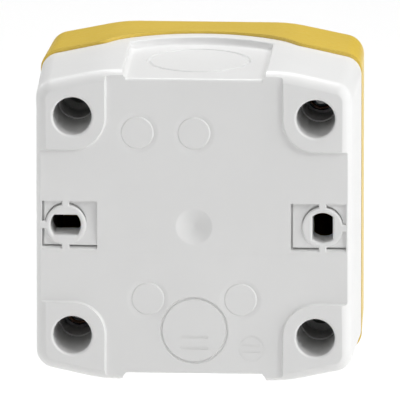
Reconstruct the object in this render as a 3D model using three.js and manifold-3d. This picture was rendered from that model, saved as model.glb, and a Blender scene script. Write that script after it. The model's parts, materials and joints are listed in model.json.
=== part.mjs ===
// Surface-mounting push-button station: a grey base housing, a yellow cover that carries a
// spring-return palm button, and a contact block with one closing and one opening contact.
//
// Everything is drawn in a panel frame, in millimetres: x to the right seen from the front, y up,
// and z from the wall towards the user, with z = 0 on the wall. The last group turns that frame so
// that +Z is up and the wall lies on the +Y side.

import * as THREE from "three";
import { mergeVertices } from "three/addons/utils/BufferGeometryUtils.js";
import Module from "manifold-3d";

const wasm = await Module();
wasm.setup();

// ---------------------------------------------------------------- driving dimensions

const GAP = 0.3; // left between neighbouring pieces
const BEYOND = 1; // how far a cutting tool reaches past the face it opens
const REACH = 50; // farther from the middle than any outside face

// housing outline: a square whose top and bottom edges slope down towards rounded corners
const BASE_HALF = 33.2; // half the width and height at the back
const BASE_CROWN = 19.4; // half the level stretch of the top edge
const DRAFT = 0.0218; // how much a moulded wall leans out, per millimetre of depth
const SHOULDER = THREE.MathUtils.degToRad(12.2);
const CORNER_RADIUS = 4;
const CROWN_RADIUS = 30;
const REAR_FILLET = 2.2;

// joint between base and cover: level on the sides, arched over the cable entries
const JOINT_DEPTH = 27.5;
const ARCH_RADIUS = 27;
const ARCH_CENTRE = 9.8;
const ARCH_BLEND = 3;
const JOINT_PEAK = ARCH_CENTRE + ARCH_RADIUS;

const PAD_HEIGHT = 0.8; // the corner pads stand this far behind the rear face
const PAD_EDGE_X = 18.7;
const PAD_EDGE_Y = 16.4;
const PAD_CORNER = 6.9;
const FLOOR = 3.3; // inside of the rear wall
const SPIGOT_INSET = 2; // outside of the rim that enters the cover
const CAVITY_INSET = 3.4;
const SPIGOT_TOP = 40.5;

const WELL_X = 25.56;
const WELL_Y = 23.47;
const WELL_RADIUS = 4.05;
const WELL_INNER_RADIUS = 3.78;
const WELL_STEP = 17; // depth at which a well narrows
const WELL_FLOOR = 25;
const WELL_HOLE = 2.3; // through the floor of an empty well
const BOSS_RADIUS = 5.7;
const BOSS_TOP = 33;

const FIXING_X = 27; // half the distance between the two wall screws
const SLOT_WIDTH = 4.3;
const SLOT_LENGTH = 6.4;
const SLOT_WALL_END = 8.5;
const SLOT_BLOCK = { inner: 19.5, half: 7 }; // the thick wall round a slot
const POCKET = { inner: 20.35, outer: 31.95, half: 5.15, depth: 1.7 };
const POCKET_BOSS = 4.35;
const BRIDGE_WIDTH = 1.6;

const ENTRY_HALF = 15.05; // cable-entry flats in the top and bottom walls
const ENTRY_FLAT = 31.6;
const ENTRY_ARCH_RADIUS = 23.8;
const ENTRY_CENTRE = 18.3;
const KNOCKOUT_RADIUS = 10.5;
const REAR_KNOCKOUT = { y: -22.3, radius: 6.9 };
const SCORE_WIDTH = 0.7;
const SCORE_DEPTH = 0.45;
const DIMPLE_RADIUS = 3.7;
const DIMPLE_DEPTH = 1.3;
const PILLAR = { radius: 3.2, bore: 1.6, boreBack: FLOOR + 0.4 }; // under a screw of the contact block

// cover
const COVER_FRONT = 50.5;
const COVER_HALF_WIDTH = 33.2; // at the front
const COVER_HALF_HEIGHT = 34.05;
const COVER_CROWN = 17.6;
const COVER_DRAFT = 0.032;
const COVER_FILLET = 1.5;
const COVER_CORNER = 4.2;
const COVER_SHOULDER = THREE.MathUtils.degToRad(11.5);
const COVER_PLATE = 2.5;
const COVER_BOSS_RADIUS = 4.2; // round a cover screw
const GASKET_THICKNESS = 1.5;
const PANEL_HOLE = 11.25;

// operator: a 22 mm push button with a 40 mm palm head
const HEAD_TRAVEL = 4;
const HEAD_RADIUS = 20;
const HEAD_TOP = 78;
const HUB_RADIUS = 10.6;
const DOME_RISE = 4.4;
const TUBE_RADIUS = 10.95;
const COLLAR_RADIUS = 12.4;
const FLANGE_RADIUS = 14.4;
const STEM_RADIUS = 7.9;
const ROD_RADIUS = 4.6;
const SLIDE_GAP = 0.4; // round the moving stem and rod
const OPERATOR_SEAL_RADIUS = 14;
const BEZEL = { height: 3, edge: 1.6, overhang: 0.3, bevel: 0.8 };
const NUT = { radius: 14.2, thickness: 4, notches: 8, notchHalf: 1.2 };
const CLIP = { radius: 6.4, bite: 0.65, thickness: 1.1, openingHalf: 1.6 };
const HEAD_SPRING = { radius: 6.4, wire: 0.5, turns: 4.5 };

// cover screws, their rubber rings and the brass bushes they turn into
const SCREW_SHANK = 1.9;
const SCREW_HEAD = 3.6;
const COUNTERBORE_FLOOR = 46;
const COUNTERBORE_RADIUS = SCREW_HEAD + 0.35;
const SCREW_TIP = WELL_FLOOR - 2.7;
const SCREW_SEAL_THICKNESS = 0.8;
const INSERT = { radius: 2.9, sides: 12, back: WELL_FLOOR - 0.8, front: 32 };

// contact block
const BLOCK = { halfX: 11.6, halfY: 21, back: FLOOR + GAP, front: 27.7, chamberFloor: 7.8 };
const CHAMBER = { halfX: 9.6, halfY: 8.6 };
const BLOCK_COVER = { halfY: 9.9, thickness: 1.6, guideRadius: 5.4, guideHeight: 3, bore: 3.8 };
const EAR = { x: 15, back: 9.3, thickness: 2.2, radius: 3.4, hole: 1.7 };
const BLOCK_SCREW = { shank: 1.3, tip: FLOOR + 0.8, head: 2.7, headHeight: 2.2 };
const BAR = { x: 5.6, halfWidth: 2.2, halfLength: 7.2, thickness: 0.8 };
const BAR_TIP = { y: 5.6, radius: 1.3, height: 0.4 };
const STRIP = { halfWidth: 2.2, plateHalfWidth: 3.5, thickness: 0.8, inner: 4.2, outer: 19.5 };
const STRIP_NECK = { from: 11, to: 12 }; // the narrow part overlaps the wide plate here
const TERMINAL = { y: 15.5, head: 2.8, headHeight: 1.9, shank: 1.45, tip: 12 };
const CLAMP = { halfX: 3.2, halfY: 3.1, thickness: 1 };
const BAY = { inner: 1.8, outer: 9.8, near: 10.2 }; // the open space of one terminal
const PASSAGE = { inner: 3.1, outer: 8.1, near: 8, far: 11 }; // from the bay into the chamber
const PLUNGER = { halfX: 9.2, halfY: 2.4, back: 13.2, front: 27.4 };
const PLUNGER_TIP = { radius: 3.4, front: 36, chamfer: 0.6 };
const PLUNGER_BORE = { radius: 2.2, end: 21 }; // seat of the plunger's spring
const PLUNGER_SPRING = { radius: 1.6, wire: 0.22, turns: 6 };
const BAR_SPRING = { radius: 1.5, wire: 0.2, turns: 3 };

// One opening and one closing contact, on either side of the plunger. The closing contact's bar
// waits in front of its strips, and the opening contact's bar lies behind them.
// Each one's windows in the plunger, from back to front, hold its bar and its bar's spring.
const CONTACTS = [
  {
    name: "nc",
    side: 1,
    stripBack: 19.1,
    barBack: 17.6,
    tipForward: true,
    windows: [[14, 20.1], [21.4, 26.6]],
  },
  {
    name: "no",
    side: -1,
    stripBack: 18.1,
    barBack: 22.3,
    tipForward: false,
    windows: [[14, 20.6], [22, 26.6]],
  },
];
const WINDOW = { inner: 3, outer: 8.2 };
const ENDS = [
  { name: "upper", side: 1 },
  { name: "lower", side: -1 },
];

// The cover screws sit on one diagonal, and the other two wells stay empty.
const SCREW_CORNERS = [
  { name: "upper", x: -WELL_X, y: WELL_Y },
  { name: "lower", x: WELL_X, y: -WELL_Y },
];
const EMPTY_CORNERS = [
  { x: WELL_X, y: WELL_Y },
  { x: -WELL_X, y: -WELL_Y },
];

// ---------------------------------------------------------------- solids and booleans

function signedVolume(position, index) {
  const [a, b, c] = [new THREE.Vector3(), new THREE.Vector3(), new THREE.Vector3()];
  let volume = 0;
  for (let i = 0; i < index.length; i += 3) {
    a.fromBufferAttribute(position, index[i]);
    b.fromBufferAttribute(position, index[i + 1]);
    c.fromBufferAttribute(position, index[i + 2]);
    volume += a.dot(b.cross(c)) / 6;
  }
  return volume;
}

// A closed three.js geometry becomes a solid with its faces pointing out.
function solidOf(geometry) {
  geometry.deleteAttribute("normal");
  geometry.deleteAttribute("uv");
  const merged = mergeVertices(geometry, 1e-4);
  const position = merged.getAttribute("position");
  const all = merged.getIndex().array;
  const kept = [];
  for (let i = 0; i < all.length; i += 3) {
    const [a, b, c] = [all[i], all[i + 1], all[i + 2]];
    if (a !== b && b !== c && c !== a) kept.push(a, b, c);
  }
  if (signedVolume(position, kept) < 0) kept.reverse();
  return new wasm.Manifold(
    new wasm.Mesh({
      numProp: 3,
      vertProperties: new Float32Array(position.array),
      triVerts: new Uint32Array(kept),
    }),
  );
}

function geometryOf(solid) {
  const mesh = solid.getMesh();
  const geometry = new THREE.BufferGeometry();
  geometry.setAttribute("position", new THREE.BufferAttribute(mesh.vertProperties, 3));
  geometry.setIndex(new THREE.BufferAttribute(mesh.triVerts, 1));
  const flat = geometry.toNonIndexed();
  flat.computeVertexNormals();
  return flat;
}

const join = (first, ...others) => others.reduce((sum, solid) => sum.add(solid), first);
const cut = (first, ...tools) => tools.reduce((rest, tool) => rest.subtract(tool), first);

// ---------------------------------------------------------------- outlines

const ARC_STEP = THREE.MathUtils.degToRad(14);

// A counter-clockwise polygon from [x, y, radius] corners, each corner rounded by an arc.
function roundedPolygon(corners) {
  const points = [];
  corners.forEach(([x, y, radius = 0], i) => {
    const corner = new THREE.Vector2(x, y);
    const before = corners[(i + corners.length - 1) % corners.length];
    const after = corners[(i + 1) % corners.length];
    const inward = corner.clone().sub(new THREE.Vector2(before[0], before[1])).normalize();
    const outward = new THREE.Vector2(after[0], after[1]).sub(corner).normalize();
    const turn = Math.atan2(inward.cross(outward), inward.dot(outward));
    if (radius === 0 || Math.abs(turn) < 1e-6) {
      points.push(corner);
      return;
    }
    const start = corner.clone().addScaledVector(inward, -radius * Math.tan(Math.abs(turn) / 2));
    const left = new THREE.Vector2(-inward.y, inward.x).multiplyScalar(Math.sign(turn));
    const centre = start.clone().addScaledVector(left, radius);
    const steps = Math.max(2, Math.ceil(Math.abs(turn) / ARC_STEP));
    for (let k = 0; k <= steps; k++) {
      points.push(start.clone().rotateAround(centre, (turn * k) / steps));
    }
  });
  return points;
}

// Barrel outline: level crowns top and bottom, sloping shoulders and upright sides.
function barrelOutline({ halfWidth, halfHeight, crown, shoulder, corner }, inset) {
  const w = halfWidth - inset;
  const h = halfHeight - inset;
  const crownEnd = crown - inset * Math.tan(shoulder / 2);
  const sideTop = h - (w - crownEnd) * Math.tan(shoulder);
  const r = Math.max(corner - inset, 0.8);
  return roundedPolygon([
    [w, -sideTop, r],
    [w, sideTop, r],
    [crownEnd, h, CROWN_RADIUS],
    [-crownEnd, h, CROWN_RADIUS],
    [-w, sideTop, r],
    [-w, -sideTop, r],
    [-crownEnd, -h, CROWN_RADIUS],
    [crownEnd, -h, CROWN_RADIUS],
  ]);
}

const baseOutline = (z, inset = 0) =>
  barrelOutline(
    {
      halfWidth: BASE_HALF + DRAFT * z,
      halfHeight: BASE_HALF + DRAFT * z,
      crown: BASE_CROWN,
      shoulder: SHOULDER,
      corner: CORNER_RADIUS,
    },
    inset,
  );

const coverOutline = (z, inset = 0) =>
  barrelOutline(
    {
      halfWidth: COVER_HALF_WIDTH + COVER_DRAFT * (COVER_FRONT - z),
      halfHeight: COVER_HALF_HEIGHT + COVER_DRAFT * (COVER_FRONT - z),
      crown: COVER_CROWN,
      shoulder: COVER_SHOULDER,
      corner: COVER_CORNER,
    },
    inset,
  );

// Points of an arc about (cx, cy), from one angle to another.
function arcPoints(cx, cy, radius, from, to, steps) {
  const points = [];
  for (let k = 0; k <= steps; k++) {
    const angle = from + ((to - from) * k) / steps;
    points.push(new THREE.Vector2(cx + radius * Math.cos(angle), cy + radius * Math.sin(angle)));
  }
  return points;
}

// ---------------------------------------------------------------- primitive solids

// Skins a stack of equal-count outlines, each { z, points }, and caps both ends.
function loft(sections) {
  const count = sections[0].points.length;
  const vertices = [];
  const index = [];
  for (const { z, points } of sections) {
    for (const point of points) vertices.push(point.x, point.y, z);
  }
  for (let level = 0; level + 1 < sections.length; level++) {
    for (let i = 0; i < count; i++) {
      const a = level * count + i;
      const b = level * count + ((i + 1) % count);
      index.push(a, b, b + count, a, b + count, a + count);
    }
  }
  const last = (sections.length - 1) * count;
  const caps = [
    [sections[0].points, 0, true],
    [sections[sections.length - 1].points, last, false],
  ];
  for (const [points, offset, flip] of caps) {
    for (const [a, b, c] of THREE.ShapeUtils.triangulateShape(points, [])) {
      index.push(offset + a, offset + (flip ? c : b), offset + (flip ? b : c));
    }
  }
  const geometry = new THREE.BufferGeometry();
  geometry.setAttribute("position", new THREE.Float32BufferAttribute(vertices, 3));
  geometry.setIndex(index);
  return solidOf(geometry);
}

const prism = (points, from, to) =>
  loft([
    { z: from, points },
    { z: to, points },
  ]);

// A prism whose outline is given in (x, z) and which runs along y.
function prismAlongY(points, from, to) {
  const shape = new THREE.Shape(points);
  const geometry = new THREE.ExtrudeGeometry(shape, { depth: to - from, bevelEnabled: false });
  geometry.rotateX(Math.PI / 2);
  geometry.translate(0, to, 0);
  return solidOf(geometry);
}

// A prism whose outline is given in (z, y) and which runs along x.
function prismAlongX(points, from, to) {
  const shape = new THREE.Shape(points);
  const geometry = new THREE.ExtrudeGeometry(shape, { depth: to - from, bevelEnabled: false });
  geometry.rotateY(-Math.PI / 2);
  geometry.translate(to, 0, 0);
  return solidOf(geometry);
}

function box(x0, x1, y0, y1, z0, z1) {
  const geometry = new THREE.BoxGeometry(x1 - x0, y1 - y0, z1 - z0);
  geometry.translate((x0 + x1) / 2, (y0 + y1) / 2, (z0 + z1) / 2);
  return solidOf(geometry);
}

// Wide circles get more sides than narrow ones.
const FULL_ROUND = 32;
const sidesFor = (radius) => Math.min(FULL_ROUND, 12 + 2 * Math.round(radius));

// Turns a closed [radius, z] profile about an axis parallel to z through (x, y).
function turned(profile, x = 0, y = 0, sides = 0) {
  const widest = Math.max(...profile.map(([radius]) => radius));
  const points = profile.map(([radius, z]) => new THREE.Vector2(radius, z));
  const geometry = new THREE.LatheGeometry(points, sides || sidesFor(widest));
  geometry.rotateX(Math.PI / 2);
  geometry.translate(x, y, 0);
  return solidOf(geometry);
}

const cylinder = (radius, from, to, x = 0, y = 0, sides = 0) =>
  turned([[0, from], [radius, from], [radius, to], [0, to]], x, y, sides);

const ring = (inner, outer, from, to, x = 0, y = 0, sides = 0) =>
  turned([[inner, from], [outer, from], [outer, to], [inner, to], [inner, from]], x, y, sides);

const WIRE_SIDES = 5;
const STEPS_PER_TURN = 9;

// A round wire wound into a helix about an axis parallel to z through (x, y).
function coilSpring({ radius, wire, from, to, turns, x = 0, y = 0 }) {
  class Helix extends THREE.Curve {
    getPoint(t, target = new THREE.Vector3()) {
      const angle = 2 * Math.PI * turns * t;
      const z = from + wire + (to - from - 2 * wire) * t;
      return target.set(x + radius * Math.cos(angle), y + radius * Math.sin(angle), z);
    }
  }
  const lastSide = 2 * Math.PI * (1 - 1 / WIRE_SIDES);
  const section = new THREE.Shape(arcPoints(0, 0, wire, 0, lastSide, WIRE_SIDES - 1));
  const geometry = new THREE.ExtrudeGeometry(section, {
    steps: Math.round(turns * STEPS_PER_TURN),
    extrudePath: new Helix(),
    bevelEnabled: false,
  });
  return solidOf(geometry);
}

// ---------------------------------------------------------------- base housing

// Everything behind the joint between base and cover, as seen from above.
function behindJoint(gap) {
  const level = JOINT_DEPTH + gap;
  const radius = ARCH_RADIUS + gap;
  const blend = ARCH_BLEND - gap;
  // the blend arc touches the level line and the arch from outside
  const blendX = Math.sqrt((radius + blend) ** 2 - (level + blend - ARCH_CENTRE) ** 2);
  const meeting = Math.atan2(level + blend - ARCH_CENTRE, blendX);
  const right = arcPoints(blendX, level + blend, blend, -Math.PI / 2, meeting - Math.PI, 3);
  const arch = arcPoints(0, ARCH_CENTRE, radius, meeting, Math.PI - meeting, 14);
  const left = right.map((p) => new THREE.Vector2(-p.x, p.y)).reverse();
  return [
    new THREE.Vector2(-REACH, -REACH),
    new THREE.Vector2(REACH, -REACH),
    new THREE.Vector2(REACH, level),
    ...right,
    ...arch.slice(1, -1),
    ...left,
    new THREE.Vector2(-REACH, level),
  ];
}

function filletedBase() {
  const sections = [];
  const steps = 4;
  for (let k = 0; k <= steps; k++) {
    const angle = (Math.PI / 2) * (k / steps);
    const z = REAR_FILLET * (1 - Math.cos(angle));
    sections.push({ z, points: baseOutline(z, REAR_FILLET * (1 - Math.sin(angle))) });
  }
  sections.push({ z: JOINT_PEAK + BEYOND, points: baseOutline(JOINT_PEAK + BEYOND) });
  return loft(sections).intersect(prismAlongY(behindJoint(0), -REACH, REACH));
}

// One corner pad, reaching from the inner corner past the outer edges.
function pad(sideX, sideY) {
  const corners = [
    [PAD_EDGE_X, PAD_EDGE_Y, PAD_CORNER],
    [REACH, PAD_EDGE_Y],
    [REACH, REACH],
    [PAD_EDGE_X, REACH],
  ];
  const points = roundedPolygon(corners).map((p) => new THREE.Vector2(p.x * sideX, p.y * sideY));
  if (sideX * sideY < 0) points.reverse();
  return prism(points, -2 * BEYOND, PAD_HEIGHT + BEYOND);
}

function rearField() {
  const pads = [pad(1, 1), pad(-1, 1), pad(-1, -1), pad(1, -1)];
  return cut(box(-REACH, REACH, -REACH, REACH, -BEYOND, PAD_HEIGHT), ...pads);
}

function wells() {
  const tools = [];
  for (const corners of [SCREW_CORNERS, EMPTY_CORNERS]) {
    const hole = corners === SCREW_CORNERS ? INSERT.radius + GAP : WELL_HOLE;
    for (const { x, y } of corners) {
      const profile = [
        [0, -BEYOND],
        [WELL_RADIUS, -BEYOND],
        [WELL_RADIUS, WELL_STEP],
        [WELL_INNER_RADIUS, WELL_STEP],
        [WELL_INNER_RADIUS, WELL_FLOOR],
        [hole, WELL_FLOOR],
        [hole, BOSS_TOP + BEYOND],
        [0, BOSS_TOP + BEYOND],
      ];
      tools.push(turned(profile, x, y));
    }
  }
  return tools;
}

// The wall slot of one side: a round hole with two flats. Its long way is level on one side and
// upright on the other, so that the station can be set straight.
function fixingSlot(side, level) {
  const x = side * FIXING_X;
  const half = SLOT_WIDTH / 2;
  const [from, to] = [-BEYOND, SLOT_WALL_END + BEYOND];
  const flats = level
    ? box(x - SLOT_LENGTH, x + SLOT_LENGTH, -half, half, from, to)
    : box(x - half, x + half, -SLOT_LENGTH, SLOT_LENGTH, from, to);
  return cylinder(SLOT_LENGTH / 2, from, to, x, 0, FULL_ROUND).intersect(flats);
}

// A rectangular pocket round the slot's boss, crossed by three thin bridges.
function fixingPocket(side) {
  const x = side * FIXING_X;
  const bottom = PAD_HEIGHT + POCKET.depth;
  const [x0, x1] = side > 0 ? [POCKET.inner, POCKET.outer] : [-POCKET.outer, -POCKET.inner];
  const pocket = box(x0, x1, -POCKET.half, POCKET.half, -BEYOND, bottom);
  const half = BRIDGE_WIDTH / 2;
  const far = side * (POCKET.outer + BEYOND);
  const [low, high] = [-2 * BEYOND, bottom + BEYOND];
  const kept = [
    cylinder(POCKET_BOSS, low, high, x, 0, FULL_ROUND),
    box(x - half, x + half, -POCKET.half - BEYOND, POCKET.half + BEYOND, low, high),
    box(Math.min(x, far), Math.max(x, far), -half, half, low, high),
  ];
  return cut(pocket, ...kept);
}

// The cable-entry flat of the top (side 1) or bottom (side -1) wall, with its scored disc.
function cableEntry(side) {
  const arcStart = Math.acos(ENTRY_HALF / ENTRY_ARCH_RADIUS);
  const arch = arcPoints(0, ARCH_CENTRE, ENTRY_ARCH_RADIUS, arcStart, Math.PI - arcStart, 10);
  const outline = [
    new THREE.Vector2(-ENTRY_HALF, -BEYOND),
    new THREE.Vector2(ENTRY_HALF, -BEYOND),
    ...arch,
  ];
  const flatAt = (z) => side * (ENTRY_FLAT + DRAFT * z);
  const ends = [-2 * BEYOND, JOINT_PEAK];
  const under = [
    new THREE.Vector2(ends[0], 0),
    new THREE.Vector2(ends[1], 0),
    new THREE.Vector2(ends[1], flatAt(ends[1])),
    new THREE.Vector2(ends[0], flatAt(ends[0])),
  ];
  const inside = ENTRY_FLAT / 2;
  const range = side > 0 ? [inside, REACH] : [-REACH, -inside];
  const recess = cut(prismAlongY(outline, ...range), prismAlongX(under, -REACH, REACH));
  const level = Math.abs(flatAt(ENTRY_CENTRE)) - SCORE_DEPTH;
  const half = SCORE_WIDTH / 2;
  const score = geometryOf(ring(KNOCKOUT_RADIUS - half, KNOCKOUT_RADIUS + half, level, BASE_HALF + BEYOND));
  score.rotateX(-side * Math.PI / 2);
  score.translate(0, 0, ENTRY_CENTRE);
  return [recess, solidOf(score)];
}

function rearKnockout() {
  const { y, radius } = REAR_KNOCKOUT;
  const half = SCORE_WIDTH / 2;
  return ring(radius - half, radius + half, -BEYOND, PAD_HEIGHT + SCORE_DEPTH, 0, y);
}

// The shallow cone left by the mould's gate.
function gateDimple() {
  return turned([
    [0, -BEYOND],
    [DIMPLE_RADIUS, -BEYOND],
    [DIMPLE_RADIUS, PAD_HEIGHT],
    [0, PAD_HEIGHT + DIMPLE_DEPTH],
  ]);
}

function baseHousing() {
  const rim = baseOutline(JOINT_DEPTH, SPIGOT_INSET);
  const shell = join(filletedBase(), prism(rim, FLOOR, SPIGOT_TOP));
  const cavity = prism(baseOutline(JOINT_DEPTH, CAVITY_INSET), FLOOR, SPIGOT_TOP + BEYOND);
  const kept = [...SCREW_CORNERS, ...EMPTY_CORNERS].map(({ x, y }) =>
    cylinder(BOSS_RADIUS, 0, BOSS_TOP, x, y),
  );
  for (const side of [1, -1]) {
    const xs = [side * SLOT_BLOCK.inner, side * BASE_HALF].sort((a, b) => a - b);
    kept.push(box(...xs, -SLOT_BLOCK.half, SLOT_BLOCK.half, 0, SLOT_WALL_END));
    kept.push(cylinder(PILLAR.radius, 0, EAR.back - GAP, side * EAR.x, 0));
  }
  const tools = [
    cut(cavity, ...kept),
    rearField(),
    ...wells(),
    fixingPocket(1),
    fixingPocket(-1),
    fixingSlot(1, true),
    fixingSlot(-1, false),
    ...cableEntry(1),
    ...cableEntry(-1),
    rearKnockout(),
    gateDimple(),
    cylinder(PILLAR.bore, PILLAR.boreBack, EAR.back, EAR.x, 0),
    cylinder(PILLAR.bore, PILLAR.boreBack, EAR.back, -EAR.x, 0),
  ];
  return cut(shell, ...tools);
}

// ---------------------------------------------------------------- cover and its fasteners

const LEDGE = SPIGOT_TOP + 2 * GAP + GASKET_THICKNESS; // where the gasket presses on the cover
const PLATE_BACK = COVER_FRONT - COVER_PLATE;

function frontCover() {
  const sections = [{ z: JOINT_DEPTH - BEYOND, points: coverOutline(JOINT_DEPTH - BEYOND) }];
  const steps = 3;
  for (let k = 0; k <= steps; k++) {
    const angle = (Math.PI / 2) * (k / steps);
    const z = COVER_FRONT - COVER_FILLET * (1 - Math.sin(angle));
    sections.push({ z, points: coverOutline(z, COVER_FILLET * (1 - Math.cos(angle))) });
  }
  const behind = JOINT_DEPTH - 3 * BEYOND;
  const skirtBore = prism(baseOutline(JOINT_DEPTH, SPIGOT_INSET - GAP), behind, LEDGE);
  const inner = prism(baseOutline(JOINT_DEPTH, CAVITY_INSET), behind, PLATE_BACK);
  const bosses = SCREW_CORNERS.flatMap(({ x, y }) => [
    cylinder(COVER_BOSS_RADIUS, BOSS_TOP + GAP, PLATE_BACK + BEYOND, x, y),
    cylinder(BOSS_RADIUS, LEDGE + 1, PLATE_BACK + BEYOND, x, y),
  ]);
  const hollow = cut(join(skirtBore, inner), ...bosses);
  const holes = SCREW_CORNERS.map(({ x, y }) =>
    turned(
      [
        [0, behind],
        [SCREW_SHANK + GAP, behind],
        [SCREW_SHANK + GAP, COUNTERBORE_FLOOR],
        [COUNTERBORE_RADIUS, COUNTERBORE_FLOOR],
        [COUNTERBORE_RADIUS, COVER_FRONT + BEYOND],
        [0, COVER_FRONT + BEYOND],
      ],
      x,
      y,
    ),
  );
  const panelHole = cylinder(PANEL_HOLE, PLATE_BACK - BEYOND, COVER_FRONT + BEYOND);
  const behindCover = prismAlongY(behindJoint(GAP), -REACH, REACH);
  return cut(loft(sections), behindCover, hollow, ...holes, panelHole);
}

function coverGasket() {
  const back = SPIGOT_TOP + GAP;
  const outer = prism(baseOutline(JOINT_DEPTH, SPIGOT_INSET), back, back + GASKET_THICKNESS);
  const inner = baseOutline(JOINT_DEPTH, CAVITY_INSET);
  return cut(outer, prism(inner, back - BEYOND, back + GASKET_THICKNESS + BEYOND));
}

// A screw along z with a cheese head at its front and a cross recess in the head.
function crossScrew({ x, y, shank, tip, head, headBack, headFront }) {
  const taper = 0.8;
  const chamfer = 0.4;
  const body = turned(
    [
      [0, tip],
      [shank * 0.6, tip],
      [shank, tip + taper],
      [shank, headBack],
      [head, headBack],
      [head, headFront - chamfer],
      [head - chamfer, headFront],
      [0, headFront],
    ],
    x,
    y,
  );
  const long = head * 0.6;
  const thin = head * 0.13;
  const floor = headFront - (headFront - headBack) * 0.6;
  return cut(
    body,
    box(x - long, x + long, y - thin, y + thin, floor, headFront + BEYOND),
    box(x - thin, x + thin, y - long, y + long, floor, headFront + BEYOND),
  );
}

const SEAL_BACK = COUNTERBORE_FLOOR + GAP;
const SEAL_FRONT = SEAL_BACK + SCREW_SEAL_THICKNESS;

const coverScrew = ({ x, y }) =>
  crossScrew({
    x,
    y,
    shank: SCREW_SHANK,
    tip: SCREW_TIP,
    head: SCREW_HEAD,
    headBack: SEAL_FRONT + GAP,
    headFront: COVER_FRONT - GAP,
  });

const screwSeal = ({ x, y }) =>
  ring(SCREW_SHANK + GAP, SCREW_HEAD - 0.1, SEAL_BACK, SEAL_FRONT, x, y);

// A brass bush with a faceted outside, moulded into the floor of a screw well.
const screwInsert = ({ x, y }) =>
  ring(SCREW_SHANK + GAP, INSERT.radius, INSERT.back, INSERT.front, x, y, INSERT.sides);

// ---------------------------------------------------------------- operator

const FLANGE_BACK = COVER_FRONT + 1.5;
const FLANGE_FRONT = FLANGE_BACK + 2.6;
const COLLAR_FRONT = 59;
const WIPER_BACK = COLLAR_FRONT - 2.1; // the seat of the rubber lip in the collar's front
const WIPER_SEAT = STEM_RADIUS + 2.2;
const BODY_BORE = STEM_RADIUS + SLIDE_GAP;
const ROD_BORE = ROD_RADIUS + SLIDE_GAP;
const SHOULDER_BACK = 40; // the inner shoulder that the head's spring stands on
const SHOULDER_FRONT = 43;
const TUBE_BACK = 37.5;
const STEM_BACK = 53.5; // where the stem widens
const STEM_TOP = 66;
const ROD_TIP = 36.3;

function operatorBody() {
  return turned([
    [BODY_BORE, TUBE_BACK],
    [TUBE_RADIUS, TUBE_BACK],
    [TUBE_RADIUS, FLANGE_BACK],
    [FLANGE_RADIUS, FLANGE_BACK],
    [FLANGE_RADIUS, FLANGE_FRONT],
    [COLLAR_RADIUS, FLANGE_FRONT],
    [COLLAR_RADIUS, COLLAR_FRONT],
    [WIPER_SEAT, COLLAR_FRONT],
    [WIPER_SEAT, WIPER_BACK],
    [BODY_BORE, WIPER_BACK],
    [BODY_BORE, SHOULDER_FRONT],
    [ROD_BORE, SHOULDER_FRONT],
    [ROD_BORE, SHOULDER_BACK],
    [BODY_BORE, SHOULDER_BACK],
    [BODY_BORE, TUBE_BACK],
  ]);
}

function bezelRing() {
  const inner = COLLAR_RADIUS + GAP;
  const outer = FLANGE_RADIUS + BEZEL.overhang;
  const back = FLANGE_FRONT + GAP;
  const front = back + BEZEL.height;
  return turned([
    [inner, back],
    [outer, back],
    [outer, back + BEZEL.edge],
    [outer - BEZEL.bevel, front],
    [inner, front],
    [inner, back],
  ]);
}

const operatorSeal = () =>
  ring(TUBE_RADIUS + GAP, OPERATOR_SEAL_RADIUS, COVER_FRONT + GAP, FLANGE_BACK - GAP);

function fixingNut() {
  const { radius, thickness, notches, notchHalf } = NUT;
  const front = PLATE_BACK - GAP;
  const back = front - thickness;
  const cuts = [];
  for (let k = 0; k < notches; k++) {
    const notch = geometryOf(
      box(radius - notchHalf, radius + BEYOND, -notchHalf, notchHalf, back - BEYOND, front + BEYOND),
    );
    notch.rotateZ((2 * Math.PI * k) / notches);
    cuts.push(solidOf(notch));
  }
  return cut(ring(TUBE_RADIUS + GAP, radius, back, front), ...cuts);
}

const wiperSeal = () =>
  ring(STEM_RADIUS + GAP, WIPER_SEAT - GAP, WIPER_BACK + GAP, COLLAR_FRONT - GAP);

// The palm button: a socket for the stem, an underside that sweeps out to the rim, and a shallow dome.
function mushroomHead() {
  const socket = STEM_RADIUS + GAP;
  const socketEnd = STEM_TOP + GAP;
  const hubBack = COLLAR_FRONT + HEAD_TRAVEL + SLIDE_GAP;
  const domeBack = HEAD_TOP - DOME_RISE;
  const domeEdge = HEAD_RADIUS - 0.35;
  const profile = [
    [0, socketEnd],
    [socket, socketEnd],
    [socket, hubBack],
    [HUB_RADIUS, hubBack],
    [HUB_RADIUS + 0.8, HEAD_TOP - 12],
    [HUB_RADIUS + 3.4, HEAD_TOP - 9.6],
    [HEAD_RADIUS - 1.2, HEAD_TOP - 7.8],
    [HEAD_RADIUS - 0.2, HEAD_TOP - 7],
    [HEAD_RADIUS, HEAD_TOP - 6],
    [HEAD_RADIUS, domeBack - 0.6],
    [domeEdge, domeBack],
  ];
  const domeRadius = domeEdge ** 2 / (2 * DOME_RISE) + DOME_RISE / 2;
  const reach = Math.asin(domeEdge / domeRadius);
  const steps = 7;
  for (let k = 1; k <= steps; k++) {
    const angle = reach * (1 - k / steps);
    profile.push([domeRadius * Math.sin(angle), HEAD_TOP - domeRadius * (1 - Math.cos(angle))]);
  }
  return turned(profile);
}

const CLIP_BACK = SHOULDER_BACK - 1.4;

function headStem() {
  const groove = ROD_RADIUS - 1;
  const chamfer = 0.8;
  return turned([
    [0, ROD_TIP],
    [ROD_RADIUS - chamfer, ROD_TIP],
    [ROD_RADIUS, ROD_TIP + chamfer],
    [ROD_RADIUS, CLIP_BACK - GAP],
    [groove, CLIP_BACK - GAP],
    [groove, SHOULDER_BACK],
    [ROD_RADIUS, SHOULDER_BACK],
    [ROD_RADIUS, STEM_BACK],
    [STEM_RADIUS, STEM_BACK],
    [STEM_RADIUS, STEM_TOP],
    [0, STEM_TOP],
  ]);
}

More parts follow.
